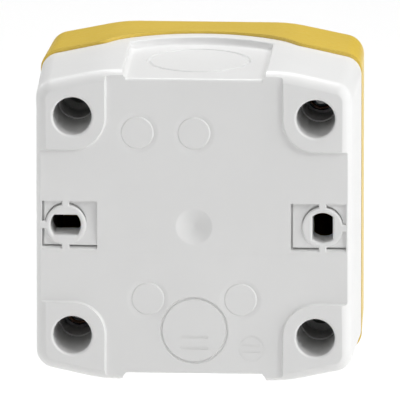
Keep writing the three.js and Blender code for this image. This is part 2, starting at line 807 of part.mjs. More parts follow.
function stemClip() {
  const { radius, bite, thickness, openingHalf } = CLIP;
  const front = CLIP_BACK + thickness;
  const clip = ring(ROD_RADIUS - bite, radius, CLIP_BACK, front);
  const opening = box(-openingHalf, openingHalf, 0, radius + BEYOND, CLIP_BACK - BEYOND, front + BEYOND);
  return cut(clip, opening);
}

const headSpring = () =>
  coilSpring({ ...HEAD_SPRING, from: SHOULDER_FRONT + GAP, to: STEM_BACK - GAP });

// ---------------------------------------------------------------- contact block

// Calls make(contact, end) for each of the four terminals.
const eachTerminal = (make) =>
  CONTACTS.flatMap((contact) => ENDS.map((end) => make(contact, end)));

// A box in the quadrant of one contact and one end.
function quadrantBox(contact, end, x0, x1, y0, y1, z0, z1) {
  const xs = [contact.side * x0, contact.side * x1].sort((a, b) => a - b);
  const ys = [end.side * y0, end.side * y1].sort((a, b) => a - b);
  return box(...xs, ...ys, z0, z1);
}

function blockHousing() {
  const { halfX, halfY, back, front, chamberFloor } = BLOCK;
  const open = front + BEYOND;
  const earFront = EAR.back + EAR.thickness;
  const ears = [1, -1].map((side) => {
    const xs = [side * (halfX - 1), side * EAR.x].sort((a, b) => a - b);
    const arm = box(...xs, -EAR.radius, EAR.radius, EAR.back, earFront);
    return join(arm, cylinder(EAR.radius, EAR.back, earFront, side * EAR.x, 0));
  });
  const earHoles = [1, -1].map((side) =>
    cylinder(EAR.hole, EAR.back - BEYOND, earFront + BEYOND, side * EAR.x, 0),
  );
  const pockets = eachTerminal((contact, end) => {
    const floor = contact.stripBack - GAP;
    const x = contact.side * BAR.x;
    return [
      quadrantBox(contact, end, BAY.inner, BAY.outer, BAY.near, halfY + BEYOND, floor, open),
      quadrantBox(contact, end, PASSAGE.inner, PASSAGE.outer, PASSAGE.near, PASSAGE.far, floor, open),
      cylinder(TERMINAL.shank + 0.4, TERMINAL.tip - 1, floor + 1, x, end.side * TERMINAL.y),
    ];
  }).flat();
  const chamber = box(
    -CHAMBER.halfX, CHAMBER.halfX, -CHAMBER.halfY, CHAMBER.halfY, chamberFloor, open,
  );
  const body = join(box(-halfX, halfX, -halfY, halfY, back, front), ...ears);
  return cut(body, chamber, ...pockets, ...earHoles);
}

function blockCover() {
  const { halfY, thickness, guideRadius, guideHeight, bore } = BLOCK_COVER;
  const back = BLOCK.front + GAP;
  const plate = box(-BLOCK.halfX, BLOCK.halfX, -halfY, halfY, back, back + thickness);
  const guide = cylinder(guideRadius, back, back + guideHeight);
  return cut(join(plate, guide), cylinder(bore, back - BEYOND, back + guideHeight + BEYOND));
}

// A flat slab with a round tip towards the stem, pierced by the windows of both contacts.
function contactPlunger() {
  const { halfX, halfY, back, front } = PLUNGER;
  const { radius, front: tipFront, chamfer } = PLUNGER_TIP;
  const slab = box(-halfX, halfX, -halfY, halfY, back, front);
  const root = front - GAP;
  const tip = turned([
    [0, root],
    [radius, root],
    [radius, tipFront - chamfer],
    [radius - chamfer, tipFront],
    [0, tipFront],
  ]);
  const windows = CONTACTS.flatMap(({ side, windows: spans }) => {
    const xs = [side * WINDOW.inner, side * WINDOW.outer].sort((a, b) => a - b);
    return spans.map(([from, to]) => box(...xs, -halfY - BEYOND, halfY + BEYOND, from, to));
  });
  const bore = cylinder(PLUNGER_BORE.radius, back - BEYOND, PLUNGER_BORE.end);
  return cut(join(slab, tip), ...windows, bore);
}

const plungerSpring = () =>
  coilSpring({ ...PLUNGER_SPRING, from: BLOCK.chamberFloor + GAP, to: PLUNGER_BORE.end - GAP });

function contactBar({ side, barBack, tipForward }) {
  const { halfWidth, halfLength, thickness } = BAR;
  const x = side * BAR.x;
  const bar = box(x - halfWidth, x + halfWidth, -halfLength, halfLength, barBack, barBack + thickness);
  const middle = barBack + thickness / 2;
  const [from, to] = tipForward
    ? [middle, barBack + thickness + BAR_TIP.height]
    : [barBack - BAR_TIP.height, middle];
  const tips = [1, -1].map((end) => cylinder(BAR_TIP.radius, from, to, x, end * BAR_TIP.y));
  return join(bar, ...tips);
}

// The bar springs push the opening bar forwards and the closing bar backwards.
function barSpring({ side, barBack, tipForward, windows }) {
  const windowsBack = windows[0][0];
  const windowsFront = windows[1][1];
  const [from, to] = tipForward
    ? [windowsBack + GAP, barBack - GAP]
    : [barBack + BAR.thickness + GAP, windowsFront - GAP];
  return coilSpring({ ...BAR_SPRING, from, to, x: side * BAR.x });
}

// A flat strip from the chamber to the terminal, wider round the terminal screw.
function contactStrip(contact, end) {
  const { stripBack } = contact;
  const front = stripBack + STRIP.thickness;
  const narrow = [BAR.x - STRIP.halfWidth, BAR.x + STRIP.halfWidth];
  const wide = [BAR.x - STRIP.plateHalfWidth, BAR.x + STRIP.plateHalfWidth];
  const strip = join(
    quadrantBox(contact, end, ...narrow, STRIP.inner, STRIP_NECK.to, stripBack, front),
    quadrantBox(contact, end, ...wide, STRIP_NECK.from, STRIP.outer, stripBack, front),
  );
  const [x, y] = [contact.side * BAR.x, end.side * TERMINAL.y];
  return cut(strip, cylinder(TERMINAL.shank + GAP, stripBack - BEYOND, front + BEYOND, x, y));
}

const clampBack = ({ stripBack }) => stripBack + STRIP.thickness + GAP;

function terminalClamp(contact, end) {
  const back = clampBack(contact);
  const front = back + CLAMP.thickness;
  const xs = [BAR.x - CLAMP.halfX, BAR.x + CLAMP.halfX];
  const ys = [TERMINAL.y - CLAMP.halfY, TERMINAL.y + CLAMP.halfY];
  const plate = quadrantBox(contact, end, ...xs, ...ys, back, front);
  const [x, y] = [contact.side * BAR.x, end.side * TERMINAL.y];
  return cut(plate, cylinder(TERMINAL.shank + GAP, back - BEYOND, front + BEYOND, x, y));
}

function terminalScrew(contact, end) {
  const headBack = clampBack(contact) + CLAMP.thickness + GAP;
  return crossScrew({
    x: contact.side * BAR.x,
    y: end.side * TERMINAL.y,
    shank: TERMINAL.shank,
    tip: TERMINAL.tip,
    head: TERMINAL.head,
    headBack,
    headFront: headBack + TERMINAL.headHeight,
  });
}

function blockScrew(side) {
  const { shank, tip, head, headHeight } = BLOCK_SCREW;
  const headBack = EAR.back + EAR.thickness + GAP;
  return crossScrew({ x: side * EAR.x, y: 0, shank, tip, head, headBack, headFront: headBack + headHeight });
}

// ---------------------------------------------------------------- materials and assembly

const plastic = (color, roughness = 0.5) =>
  new THREE.MeshStandardMaterial({ color, roughness, metalness: 0 });
const metal = (color, roughness = 0.35) =>
  new THREE.MeshStandardMaterial({ color, roughness, metalness: 1 });

const MATERIALS = {
  greyShell: () => plastic(0xdcdddc, 0.45),
  yellowShell: () => plastic(0xf0c63c, 0.4),
  redHead: () => plastic(0xc4151c, 0.3),
  blackBody: () => plastic(0x1c1c1e, 0.5),
  rubber: () => plastic(0x26262a, 0.85),
  blockBody: () => plastic(0x3a3c40, 0.55),
  whitePlunger: () => plastic(0xe9e7df, 0.5),
  steel: () => metal(0xb9bcc0),
  brass: () => metal(0xc09a58),
  copper: () => metal(0xb87a4b),
  chrome: () => metal(0xd8dadc, 0.15),
};

const station = new THREE.Group();
const panel = new THREE.Group();
panel.rotation.x = Math.PI / 2;
station.add(panel);

function place(name, solid, material) {
  const mesh = new THREE.Mesh(geometryOf(solid), material());
  mesh.name = name;
  panel.add(mesh);
}

place("base_housing", baseHousing(), MATERIALS.greyShell);
place("front_cover", frontCover(), MATERIALS.yellowShell);
place("cover_gasket", coverGasket(), MATERIALS.rubber);
for (const corner of SCREW_CORNERS) {
  place(`cover_screw_${corner.name}`, coverScrew(corner), MATERIALS.steel);
  place(`screw_seal_${corner.name}`, screwSeal(corner), MATERIALS.rubber);
  place(`screw_insert_${corner.name}`, screwInsert(corner), MATERIALS.brass);
}

place("mushroom_head", mushroomHead(), MATERIALS.redHead);
place("head_stem", headStem(), MATERIALS.blackBody);
place("stem_clip", stemClip(), MATERIALS.steel);
place("head_spring", headSpring(), MATERIALS.steel);
place("operator_body", operatorBody(), MATERIALS.blackBody);
place("bezel_ring", bezelRing(), MATERIALS.chrome);
place("operator_seal", operatorSeal(), MATERIALS.rubber);
place("fixing_nut", fixingNut(), MATERIALS.steel);
place("wiper_seal", wiperSeal(), MATERIALS.rubber);

place("block_housing", blockHousing(), MATERIALS.blockBody);
place("block_cover", blockCover(), MATERIALS.blockBody);
place("contact_plunger", contactPlunger(), MATERIALS.whitePlunger);
place("plunger_spring", plungerSpring(), MATERIALS.steel);
for (const contact of CONTACTS) {
  place(`${contact.name}_bar`, contactBar(contact), MATERIALS.copper);
  place(`${contact.name}_bar_spring`, barSpring(contact), MATERIALS.steel);
  for (const end of ENDS) {
    const tag = `${contact.name}_${end.name}`;
    place(`${tag}_strip`, contactStrip(contact, end), MATERIALS.brass);
    place(`${tag}_clamp`, terminalClamp(contact, end), MATERIALS.steel);
    place(`${tag}_terminal_screw`, terminalScrew(contact, end), MATERIALS.steel);
  }
}
place("block_screw_left", blockScrew(-1), MATERIALS.steel);
place("block_screw_right", blockScrew(1), MATERIALS.steel);

export default station;
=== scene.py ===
import json
import math

import bmesh
import bpy
from mathutils import Matrix, Vector


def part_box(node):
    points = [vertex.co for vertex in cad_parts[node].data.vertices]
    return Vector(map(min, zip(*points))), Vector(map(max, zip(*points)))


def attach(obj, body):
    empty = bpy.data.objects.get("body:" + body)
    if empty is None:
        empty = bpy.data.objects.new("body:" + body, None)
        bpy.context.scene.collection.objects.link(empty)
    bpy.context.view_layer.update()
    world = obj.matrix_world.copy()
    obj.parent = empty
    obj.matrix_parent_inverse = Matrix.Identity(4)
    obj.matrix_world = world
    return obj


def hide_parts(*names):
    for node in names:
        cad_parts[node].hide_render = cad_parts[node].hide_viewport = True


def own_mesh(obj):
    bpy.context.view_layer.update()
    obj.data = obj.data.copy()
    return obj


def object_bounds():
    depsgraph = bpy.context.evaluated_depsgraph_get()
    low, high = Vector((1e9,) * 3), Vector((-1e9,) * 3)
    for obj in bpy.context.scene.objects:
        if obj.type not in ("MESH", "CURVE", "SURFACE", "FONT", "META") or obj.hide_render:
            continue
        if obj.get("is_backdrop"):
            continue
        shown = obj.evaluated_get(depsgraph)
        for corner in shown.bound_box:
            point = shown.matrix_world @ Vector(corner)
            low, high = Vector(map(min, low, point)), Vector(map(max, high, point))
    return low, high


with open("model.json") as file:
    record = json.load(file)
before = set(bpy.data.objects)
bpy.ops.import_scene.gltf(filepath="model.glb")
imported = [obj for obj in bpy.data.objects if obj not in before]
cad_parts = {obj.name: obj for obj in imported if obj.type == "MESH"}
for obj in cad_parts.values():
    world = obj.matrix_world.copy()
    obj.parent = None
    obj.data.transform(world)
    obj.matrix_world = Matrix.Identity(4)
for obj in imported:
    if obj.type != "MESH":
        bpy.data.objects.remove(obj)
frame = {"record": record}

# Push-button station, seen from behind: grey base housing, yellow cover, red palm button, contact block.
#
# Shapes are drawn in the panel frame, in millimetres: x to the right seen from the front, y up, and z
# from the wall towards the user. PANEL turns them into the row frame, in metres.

cad_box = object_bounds()

MM = 0.001
PANEL = Matrix.Scale(MM, 4) @ Matrix.Rotation(math.pi / 2, 4, "X")


def panel_box(node):
    """A CAD node's lowest and highest corner in the panel frame, in millimetres."""
    low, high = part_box(node)
    return Vector((low.x, low.z, -high.y)) / MM, Vector((high.x, high.z, -low.y)) / MM


def placed(node):
    """A CAD node's corners as in panel_box, with the x and y of its middle."""
    low, high = panel_box(node)
    return low, high, (low.x + high.x) / 2, (low.y + high.y) / 2


# ---- sizes, in millimetres

BEYOND = 1.0  # how far a cutting tool reaches past the face it opens
REACH = 50.0  # a distance that is outside the whole station
SEAM = 0.05  # what shows of the gap between two closed mouldings

# housing outline: a square whose top and bottom edges slope down towards rounded corners
BASE_HALF = 33.2
BASE_CROWN = 19.4
DRAFT = 0.0218
SHOULDER = math.radians(12.2)
CORNER_RADIUS = 4.0
CROWN_RADIUS = 30.0
REAR_FILLET = 2.2

# joint between base and cover: level on the sides, arched over the cable entries
JOINT_DEPTH = 27.5
ARCH_RADIUS = 27.0
ARCH_CENTRE = 9.8
ARCH_BLEND = 3.0
JOINT_PEAK = ARCH_CENTRE + ARCH_RADIUS

FIELD = 0.8  # depth of the rear field behind which the corner pads stand
PAD_EDGE_X = 18.7
PAD_EDGE_Y = 16.4
PAD_CORNER = 6.9
PAD_FOOT = 0.45
PAD_RIM = 0.15
FLOOR = 3.3
SPIGOT_INSET = 2.0
CAVITY_INSET = 3.4
SPIGOT_TOP = 40.5

WELL_RADIUS = 4.05
WELL_LIP = 0.55
WELL_INNER_RADIUS = 3.78
WELL_STEP = 17.0
WELL_FLOOR = 25.0
WELL_HOLE = 2.3
INSERT_SEAT = 3.2
BOSS_RADIUS = 5.7
BOSS_TOP = 33.0

FIXING_X = 27.0
SLOT_HALF_WIDTH = 2.15
SLOT_HALF_LENGTH = 3.2
SLOT_BEVEL = 0.5
SLOT_WALL_END = 8.5
SLOT_WALL_START = 19.5
SLOT_WALL_HALF = 7.0
POCKET_INNER = 20.35
POCKET_OUTER = 31.95
POCKET_HALF = 5.15
POCKET_FLOOR = 2.4
POCKET_CHAMFER = (0.5, 0.8)  # across the lower wall and along it
POCKET_GROOVE = 0.45
POCKET_BOSS = 4.35
BOSS_EDGE = 0.5
BRIDGE_HALF = 0.8
BRIDGE_EDGE = 0.3
# what stands in a pocket: how far it lies below the field, and how much more at the pocket's top
INNER_ISLAND = (0.12, 0.8)
OUTER_ISLAND = (0.6, 0.001)

# pillars on the floor, which carry the contact block's ears
PILLAR_X = 15.0
PILLAR_RADIUS = 3.2
PILLAR_BORE = 1.6
PILLAR_TOP = 9.0

ENTRY_HALF = 15.05
ENTRY_FLAT = 31.6
ENTRY_ARCH_RADIUS = 23.8
ENTRY_CENTRE = 18.3
ENTRY_FOOT = 1.1
ENTRY_RIM = 0.4
ENTRY_EDGE = 0.8
KNOCKOUT_RADIUS = 10.5
REAR_KNOCKOUT_Y = -22.3
REAR_KNOCKOUT_RADIUS = 6.9
DIMPLE_RADIUS = 3.7
DIMPLE_DEPTH = 1.3
KNOCKOUT_BARS = (-23.7, -26.1)
MARK_X, MARK_Y = -12.0, -26.0
EJECTOR_MARKS = ((11.9, 20), (0, 20), (9.7, -15.6), (-9.8, -15.6))
SINK_LINES = ((-23.5, -3.6), (3.7, 24))
SINK_LINE_Y = -5.7
SINK_LINE_HEIGHT = 1.2

COVER_FRONT = 50.5
COVER_HALF_WIDTH = 33.2
COVER_HALF_HEIGHT = 34.05
COVER_CROWN = 17.6
COVER_DRAFT = 0.032
COVER_FILLET = 1.5
COVER_CORNER = 4.2
COVER_SHOULDER = math.radians(11.5)
PLATE_BACK = 48.0
LEDGE = 42.6
PANEL_HOLE = 11.25
COUNTERBORE_FLOOR = 46.0
COUNTERBORE_RADIUS = 3.95
SKIRT_START = 20.0
COVER_BOSS_RADIUS = 4.2
SCREW_BORE = 2.2

_, _, WELL_X, lower_y = placed("screw_insert_lower")
WELL_Y = -lower_y
SCREW_CORNERS = {"upper": (-WELL_X, WELL_Y), "lower": (WELL_X, -WELL_Y)}
EMPTY_CORNERS = ((WELL_X, WELL_Y), (-WELL_X, -WELL_Y))


# ---- meshes and booleans

def shown(name, data):
    """A new object in the scene."""
    made = bpy.data.objects.new(name, data)
    bpy.context.scene.collection.objects.link(made)
    return made


def edited(mesh, change):
    """The mesh after change(bm) has worked on it."""
    bm = bmesh.new()
    bm.from_mesh(mesh)
    change(bm)
    bm.to_mesh(mesh)
    bm.free()
    return mesh


def close_up(bm):
    """Merges doubled points and points the faces out."""
    bmesh.ops.remove_doubles(bm, verts=bm.verts, dist=1e-5)
    if bm.calc_volume(signed=True) < 0:
        bmesh.ops.reverse_faces(bm, faces=bm.faces)


def mesh_of(vertices, faces):
    """A closed mesh whose faces point out."""
    mesh = bpy.data.meshes.new("shape")
    mesh.from_pydata(vertices, [], faces)
    return edited(mesh, close_up)


def boolean(mesh, operation, tools):
    """mesh joined with, cut by or kept inside each tool in turn."""
    work = shown("work", mesh)
    operands = [shown("operand", tool) for tool in tools]
    for operand in operands:
        modifier = work.modifiers.new("boolean", "BOOLEAN")
        modifier.operation = operation
        modifier.solver = "MANIFOLD"
        modifier.object = operand
    depsgraph = bpy.context.evaluated_depsgraph_get()
    result = bpy.data.meshes.new_from_object(work.evaluated_get(depsgraph))
    for leftover in (work, *operands):
        bpy.data.objects.remove(leftover)
    return result


def join(mesh, *tools):
    return boolean(mesh, "UNION", tools)


def cut(mesh, *tools):
    return boolean(mesh, "DIFFERENCE", tools)


def common(mesh, *tools):
    return boolean(mesh, "INTERSECT", tools)


# ---- outlines

def rounded(corners, step=4):
    """A polygon from (x, y, radius) corners, each rounded by an arc with a point every step degrees."""
    points = []
    for i, corner in enumerate(corners):
        here = Vector(corner[:2])
        radius = corner[2] if len(corner) > 2 else 0
        before = Vector(corners[i - 1][:2])
        after = Vector(corners[(i + 1) % len(corners)][:2])
        inward = (here - before).normalized()
        outward = (after - here).normalized()
        turn = math.atan2(inward.x * outward.y - inward.y * outward.x, inward.dot(outward))
        if radius == 0 or abs(turn) < 1e-6:
            points.append(here)
            continue
        start = here - inward * radius * math.tan(abs(turn) / 2)
        centre = start + Vector((-inward.y, inward.x)) * math.copysign(radius, turn)
        steps = max(3, math.ceil(math.degrees(abs(turn)) / step))
        for k in range(steps + 1):
            points.append(centre + Matrix.Rotation(turn * k / steps, 2) @ (start - centre))
    return points


def arc(cx, cy, radius, start, end, steps):
    """Points of an arc about (cx, cy), from one angle to another."""
    angles = [start + (end - start) * k / steps for k in range(steps + 1)]
    return [Vector((cx + radius * math.cos(a), cy + radius * math.sin(a))) for a in angles]


def barrel(half_width, half_height, crown, shoulder, corner, inset):
    """Level crowns top and bottom, sloping shoulders and upright sides."""
    w = half_width - inset
    h = half_height - inset
    crown_end = crown - inset * math.tan(shoulder / 2)
    side_top = h - (w - crown_end) * math.tan(shoulder)
    r = max(corner - inset, 0.8)
    quarter = [(w, side_top, r), (crown_end, h, CROWN_RADIUS)]
    upper = quarter + [(-x, y, radius) for x, y, radius in reversed(quarter)]
    return rounded(upper + [(-x, -y, radius) for x, y, radius in upper])


def base_outline(z, inset=0.0):
    half = BASE_HALF + DRAFT * z
    return barrel(half, half, BASE_CROWN, SHOULDER, CORNER_RADIUS, inset)


def cover_outline(z, inset=0.0):
    lean = COVER_DRAFT * (COVER_FRONT - z)
    return barrel(COVER_HALF_WIDTH + lean, COVER_HALF_HEIGHT + lean, COVER_CROWN, COVER_SHOULDER,
                  COVER_CORNER, inset)


def behind_joint(gap):
    """The (x, z) outline of everything behind the joint between base and cover."""
    level = JOINT_DEPTH + gap
    radius = ARCH_RADIUS + gap
    blend = ARCH_BLEND - gap
    blend_x = math.sqrt((radius + blend) ** 2 - (level + blend - ARCH_CENTRE) ** 2)
    meeting = math.atan2(level + blend - ARCH_CENTRE, blend_x)
    right = arc(blend_x, level + blend, blend, -math.pi / 2, meeting - math.pi, 10)
    arch = arc(0, ARCH_CENTRE, radius, meeting, math.pi - meeting, 48)
    left = [(-x, z) for x, z in reversed(right)]
    ends = [(-REACH, -REACH), (REACH, -REACH), (REACH, level)]
    return [*ends, *right, *arch[1:-1], *left, (-REACH, level)]


# ---- solids

def loft(sections):
    """Skins a stack of outlines with as many points each, given as (z, points), and caps both ends."""
    count = len(sections[0][1])
    vertices = [(x, y, z) for z, points in sections for x, y in points]
    faces = []
    for level in range(len(sections) - 1):
        for i in range(count):
            a = level * count + i
            b = level * count + (i + 1) % count
            faces.append((a, b, b + count, a + count))
    last = (len(sections) - 1) * count
    faces.append(tuple(reversed(range(count))))
    faces.append(tuple(range(last, last + count)))
    return mesh_of(vertices, faces)


def prism(points, low, high):
    return loft([(low, points), (high, points)])


def turn_to(mesh, rotation):
    mesh.transform(rotation)
    return mesh


def prism_along_y(points, low, high):
    """A prism whose outline is given in (x, z)."""
    return turn_to(prism(points, -high, -low), Matrix.Rotation(math.pi / 2, 4, "X"))


def prism_along_x(points, low, high):
    """A prism whose outline is given in (y, z)."""
    axes = Matrix(((0, 0, 1, 0), (1, 0, 0, 0), (0, 1, 0, 0), (0, 0, 0, 1)))
    return turn_to(prism(points, low, high), axes)


def rectangle(x0, x1, y0, y1, *radius):
    """A rectangle's four corners, with a radius for rounded() where one is given."""
    return [(x0, y0, *radius), (x1, y0, *radius), (x1, y1, *radius), (x0, y1, *radius)]


def box(x0, x1, y0, y1, z0, z1):
    return prism(rectangle(x0, x1, y0, y1), z0, z1)


def span(side, near, far):
    """The lower and the upper end of a stretch on the positive (1) or negative (-1) side of the middle."""
    return sorted((side * near, side * far))


def quadrant_box(side, end, x0, x1, y0, y1, z0, z1):
    return box(*span(side, x0, x1), *span(end, y0, y1), z0, z1)


def turned(profile, x=0.0, y=0.0, sides=96):
    """Turns a closed (radius, z) profile about an axis parallel to z through (x, y)."""
    vertices = []
    rings = []
    for radius, z in profile:
        if radius < 1e-6:
            rings.append([len(vertices)] * sides)
            vertices.append((x, y, z))
            continue
        rings.append(list(range(len(vertices), len(vertices) + sides)))
        for k in range(sides):
            angle = 2 * math.pi * k / sides
            vertices.append((x + radius * math.cos(angle), y + radius * math.sin(angle), z))
    faces = []
    for i, ring in enumerate(rings):
        following = rings[(i + 1) % len(rings)]
        for k in range(sides):
            n = (k + 1) % sides
            corners = dict.fromkeys((ring[k], ring[n], following[n], following[k]))
            if len(corners) > 2:
                faces.append(tuple(corners))
    return mesh_of(vertices, faces)


def cylinder(radius, low, high, x=0.0, y=0.0, sides=96):
    return turned(rectangle(0, radius, low, high), x, y, sides)


def washer(inner, outer, low, high, fillet, x=0.0, y=0.0, sides=96):
    return turned(rounded(rectangle(inner, outer, low, high, fillet), 15), x, y, sides)


def rim(radius, level, fillet, steps=6):
    """Points (r, z) of a hole's rounded rim, from the face at level into the hole."""
    angles = [math.pi / 2 * k / steps for k in range(steps + 1)]
    return [
        (radius + fillet * (1 - math.sin(a)), level + fillet * (1 - math.cos(a))) for a in angles
    ]


# ---- materials

MATERIALS = {}


def node_tree(name):
    """Makes a material; gives its tree, its shader and the object coordinates it is drawn in."""
    material = MATERIALS[name] = bpy.data.materials.new(name)
    material.use_nodes = True
    tree = material.node_tree
    shader = tree.nodes["Principled BSDF"]
    coordinates = tree.nodes.new("ShaderNodeTexCoord").outputs["Object"]
    return tree, shader, coordinates


def put(node, values):
    """Sets a node's inputs by their names."""
    for name, value in values.items():
        node.inputs[name].default_value = value


def noise(tree, coordinates, scale, detail=3.0):
    node = tree.nodes.new("ShaderNodeTexNoise")
    put(node, {"Scale": scale, "Detail": detail, "Roughness": 0.55})
    tree.links.new(coordinates, node.inputs["Vector"])
    return node.outputs["Fac"]


def spread(tree, value, low=0.0, high=1.0):
    """Maps a noise value's middle range to low .. high."""
    node = tree.nodes.new("ShaderNodeMapRange")
    put(node, {"From Min": 0.3, "From Max": 0.7, "To Min": low, "To Max": high})
    tree.links.new(value, node.inputs["Value"])
    return node.outputs["Result"]


def blend_colors(tree, factor, first, second):
    """A mix of two colours by a factor's socket."""
    node = tree.nodes.new("ShaderNodeMix")
    node.data_type = "RGBA"
    tree.links.new(factor, node.inputs[0])
    node.inputs[6].default_value = first
    node.inputs[7].default_value = second
    return node.outputs[2]


def bump(tree, shader, height, strength, distance):
    node = tree.nodes.new("ShaderNodeBump")
    put(node, {"Strength": strength, "Distance": distance})
    tree.links.new(height, node.inputs["Height"])
    tree.links.new(node.outputs["Normal"], shader.inputs["Normal"])


def shade(color, factor):
    return (*[channel * factor for channel in color], 1.0)


def surface(name, tones, patches, gloss, grain, detail, bump_strength, relief):
    """A material with two tones in soft patches, and a grain that sets its gloss and its relief."""
    tree, shader, coordinates = node_tree(name)
    factor = spread(tree, noise(tree, coordinates, patches))
    tree.links.new(blend_colors(tree, factor, *tones), shader.inputs["Base Color"])
    fine = noise(tree, coordinates, grain, detail)
    tree.links.new(spread(tree, fine, *gloss), shader.inputs["Roughness"])
    bump(tree, shader, fine, bump_strength, relief)
    return shader


def plastic(name, color, roughness, grain=900.0, relief=0.00003, variation=0.03, coat=0.0):
    """Moulded plastic: a fine grain, slight flow marks in its colour and an uneven gloss."""
    tones = shade(color, 1 - variation), shade(color, 1 + variation)
    gloss = roughness - 0.05, roughness + 0.07
    shader = surface(name, tones, 55.0, gloss, grain, 5.0, 0.35, relief)
    put(shader, {"Coat Weight": coat})


def shell_plastic(name, color, roughness):
    """The base's plastic: a very fine grain, with faint flow marks in its colour."""
    tones = shade(color, 0.985), shade(color, 1.015)
    gloss = roughness - 0.05, roughness + 0.06
    surface(name, tones, 45.0, gloss, 1100.0, 5.0, 0.3, 0.00002)


def metal(name, color, roughness, variation=0.12, relief=0.00001):
    """Plated or drawn metal: a fine grain and small patches in colour and gloss."""
    tones = shade(color, 1 - variation), shade(color, 1 + variation * 0.5)
    gloss = roughness - 0.08, roughness + 0.1
    shader = surface(name, tones, 260.0, gloss, 1500.0, 4.0, 0.4, relief)
    put(shader, {"Metallic": 1.0})


def rubber(name, color):
    """Matt rubber with a dusty bloom."""
    tree, shader, coordinates = node_tree(name)
    bloom = spread(tree, noise(tree, coordinates, 400.0))
    mixed = blend_colors(tree, bloom, shade(color, 0.8), shade(color, 1.6))
    tree.links.new(mixed, shader.inputs["Base Color"])
    put(shader, {"Roughness": 0.82})
    bump(tree, shader, noise(tree, coordinates, 1800.0), 0.5, 0.00002)


shell_plastic("grey_shell", (0.77, 0.77, 0.765), 0.42)
plastic("yellow_shell", (0.71, 0.505, 0.075), 0.38, relief=0.00002)
plastic("red_head", (0.52, 0.012, 0.014), 0.24, grain=320.0, relief=0.000003, coat=0.25)
plastic("black_body", (0.02, 0.02, 0.022), 0.42, variation=0.15)
plastic("block_body", (0.045, 0.048, 0.055), 0.5, variation=0.12)
plastic("plunger_white", (0.78, 0.77, 0.72), 0.35)
rubber("seal_rubber", (0.022, 0.022, 0.025))
metal("screw_steel", (0.60, 0.61, 0.62), 0.3)
metal("spring_steel", (0.48, 0.49, 0.51), 0.28)
metal("insert_brass", (0.52, 0.30, 0.22), 0.42)
metal("contact_brass", (0.76, 0.57, 0.28), 0.26)
metal("contact_copper", (0.72, 0.40, 0.25), 0.26)
metal("bezel_chrome", (0.78, 0.79, 0.80), 0.1, variation=0.03, relief=0.000003)


# ---- placing pieces

SHARP = math.radians(32)
BODY_OF = {
    node: body for body, nodes in frame["record"]["behaviour"]["bodies"].items() for node in nodes
}


def piece(name, mesh, body, slot):
    """Puts a finished shape in the row frame, as a piece that rides on a body."""
    mesh.transform(PANEL)
    mesh.name = name
    mesh.shade_smooth()
    mesh.set_sharp_from_angle(angle=SHARP)
    mesh.materials.clear()
    mesh.materials.append(MATERIALS[slot])
    made = shown(name, mesh)
    normals = made.modifiers.new("weighted normals", "WEIGHTED_NORMAL")
    normals.keep_sharp = True
    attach(made, body)
    return made


def stand_for(node, mesh, slot):
    """Shows a finished shape in place of one CAD node, on the same body."""
    made = piece(node + "_visual", mesh, BODY_OF[node], slot)
    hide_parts(node)
    return made


def fit(node, slot, build, *details, **sizes):
    """Shows build(node, ...) in place of that CAD node."""
    return stand_for(node, build(node, *details, **sizes), slot)


# ---- base housing

def filleted_base():
    """The casing's outside. Its rear rounding meets the back at a soft crease."""
    crease = math.radians(20)
    radius = REAR_FILLET / (1 - math.sin(crease))
    sections = []
    steps = 12
    for k in range(steps + 1):
        angle = crease + (math.pi / 2 - crease) * k / steps
        z = radius * (math.cos(crease) - math.cos(angle))
        sections.append((z, base_outline(z, radius * (1 - math.sin(angle)))))
    top = JOINT_PEAK + BEYOND
    sections.append((top, base_outline(top)))
    return common(loft(sections), prism_along_y(behind_joint(0), -REACH, REACH))


def pad(side_x, side_y):
    """One corner pad, with a small fillet at its foot and a softened rim."""
    levels = [(-2 * BEYOND, -PAD_RIM)]
    levels += [(z, -r) for r, z in rim(0, 0, PAD_RIM, 4)]
    levels += [(FIELD - r, z) for r, z in rim(0, 0, PAD_FOOT, 5)]
    levels.append((FIELD + BEYOND, PAD_FOOT))
    sections = []
    for z, grown in levels:
        x, y = PAD_EDGE_X - grown, PAD_EDGE_Y - grown
        outline = rounded([(x, y, PAD_CORNER + grown), (REACH, y), (REACH, REACH), (x, REACH)])
        sections.append((z, [(x * side_x, y * side_y) for x, y in outline]))
    return loft(sections)


def rear_field():
    pads = [pad(1, 1), pad(-1, 1), pad(-1, -1), pad(1, -1)]
    half = REACH - BEYOND
    return cut(box(-half, half, -half, half, -BEYOND, FIELD), *pads)


def well(x, y, hole):
    """A deep screw well: a rounded mouth, a step half way down and a hole in its floor."""
    step = rim(WELL_INNER_RADIUS, WELL_STEP, 0.15, 3)
    end = BOSS_TOP + BEYOND
    profile = [(0, -BEYOND), (WELL_RADIUS + WELL_LIP, -BEYOND), *rim(WELL_RADIUS, 0, WELL_LIP)]
    profile += [(WELL_RADIUS, WELL_STEP), *step, (WELL_INNER_RADIUS, WELL_FLOOR)]
    profile += [*rim(hole, WELL_FLOOR, 0.2, 3), (hole, end), (0, end)]
    return turned(profile, x, y)


def double_d(side, level, grown):
    """Outline of a wall slot: a circle with two flats, its long way level or upright."""
    radius = SLOT_HALF_LENGTH + grown
    flat = SLOT_HALF_WIDTH + grown
    half_angle = math.asin(flat / radius)
    right = arc(0, 0, radius, -half_angle, half_angle, 14)
    points = [*right, *[(-x, -y) for x, y in right]]
    if not level:
        points = [(-y, x) for x, y in points]
    return [(x + side * FIXING_X, y) for x, y in points]


def fixing_slot(side, level):
    sections = [(-BEYOND, double_d(side, level, SLOT_BEVEL))]
    sections += [(z, double_d(side, level, grown)) for grown, z in rim(0, FIELD, SLOT_BEVEL, 5)]
    sections.append((SLOT_WALL_END + BEYOND, double_d(side, level, 0)))
    return loft(sections)


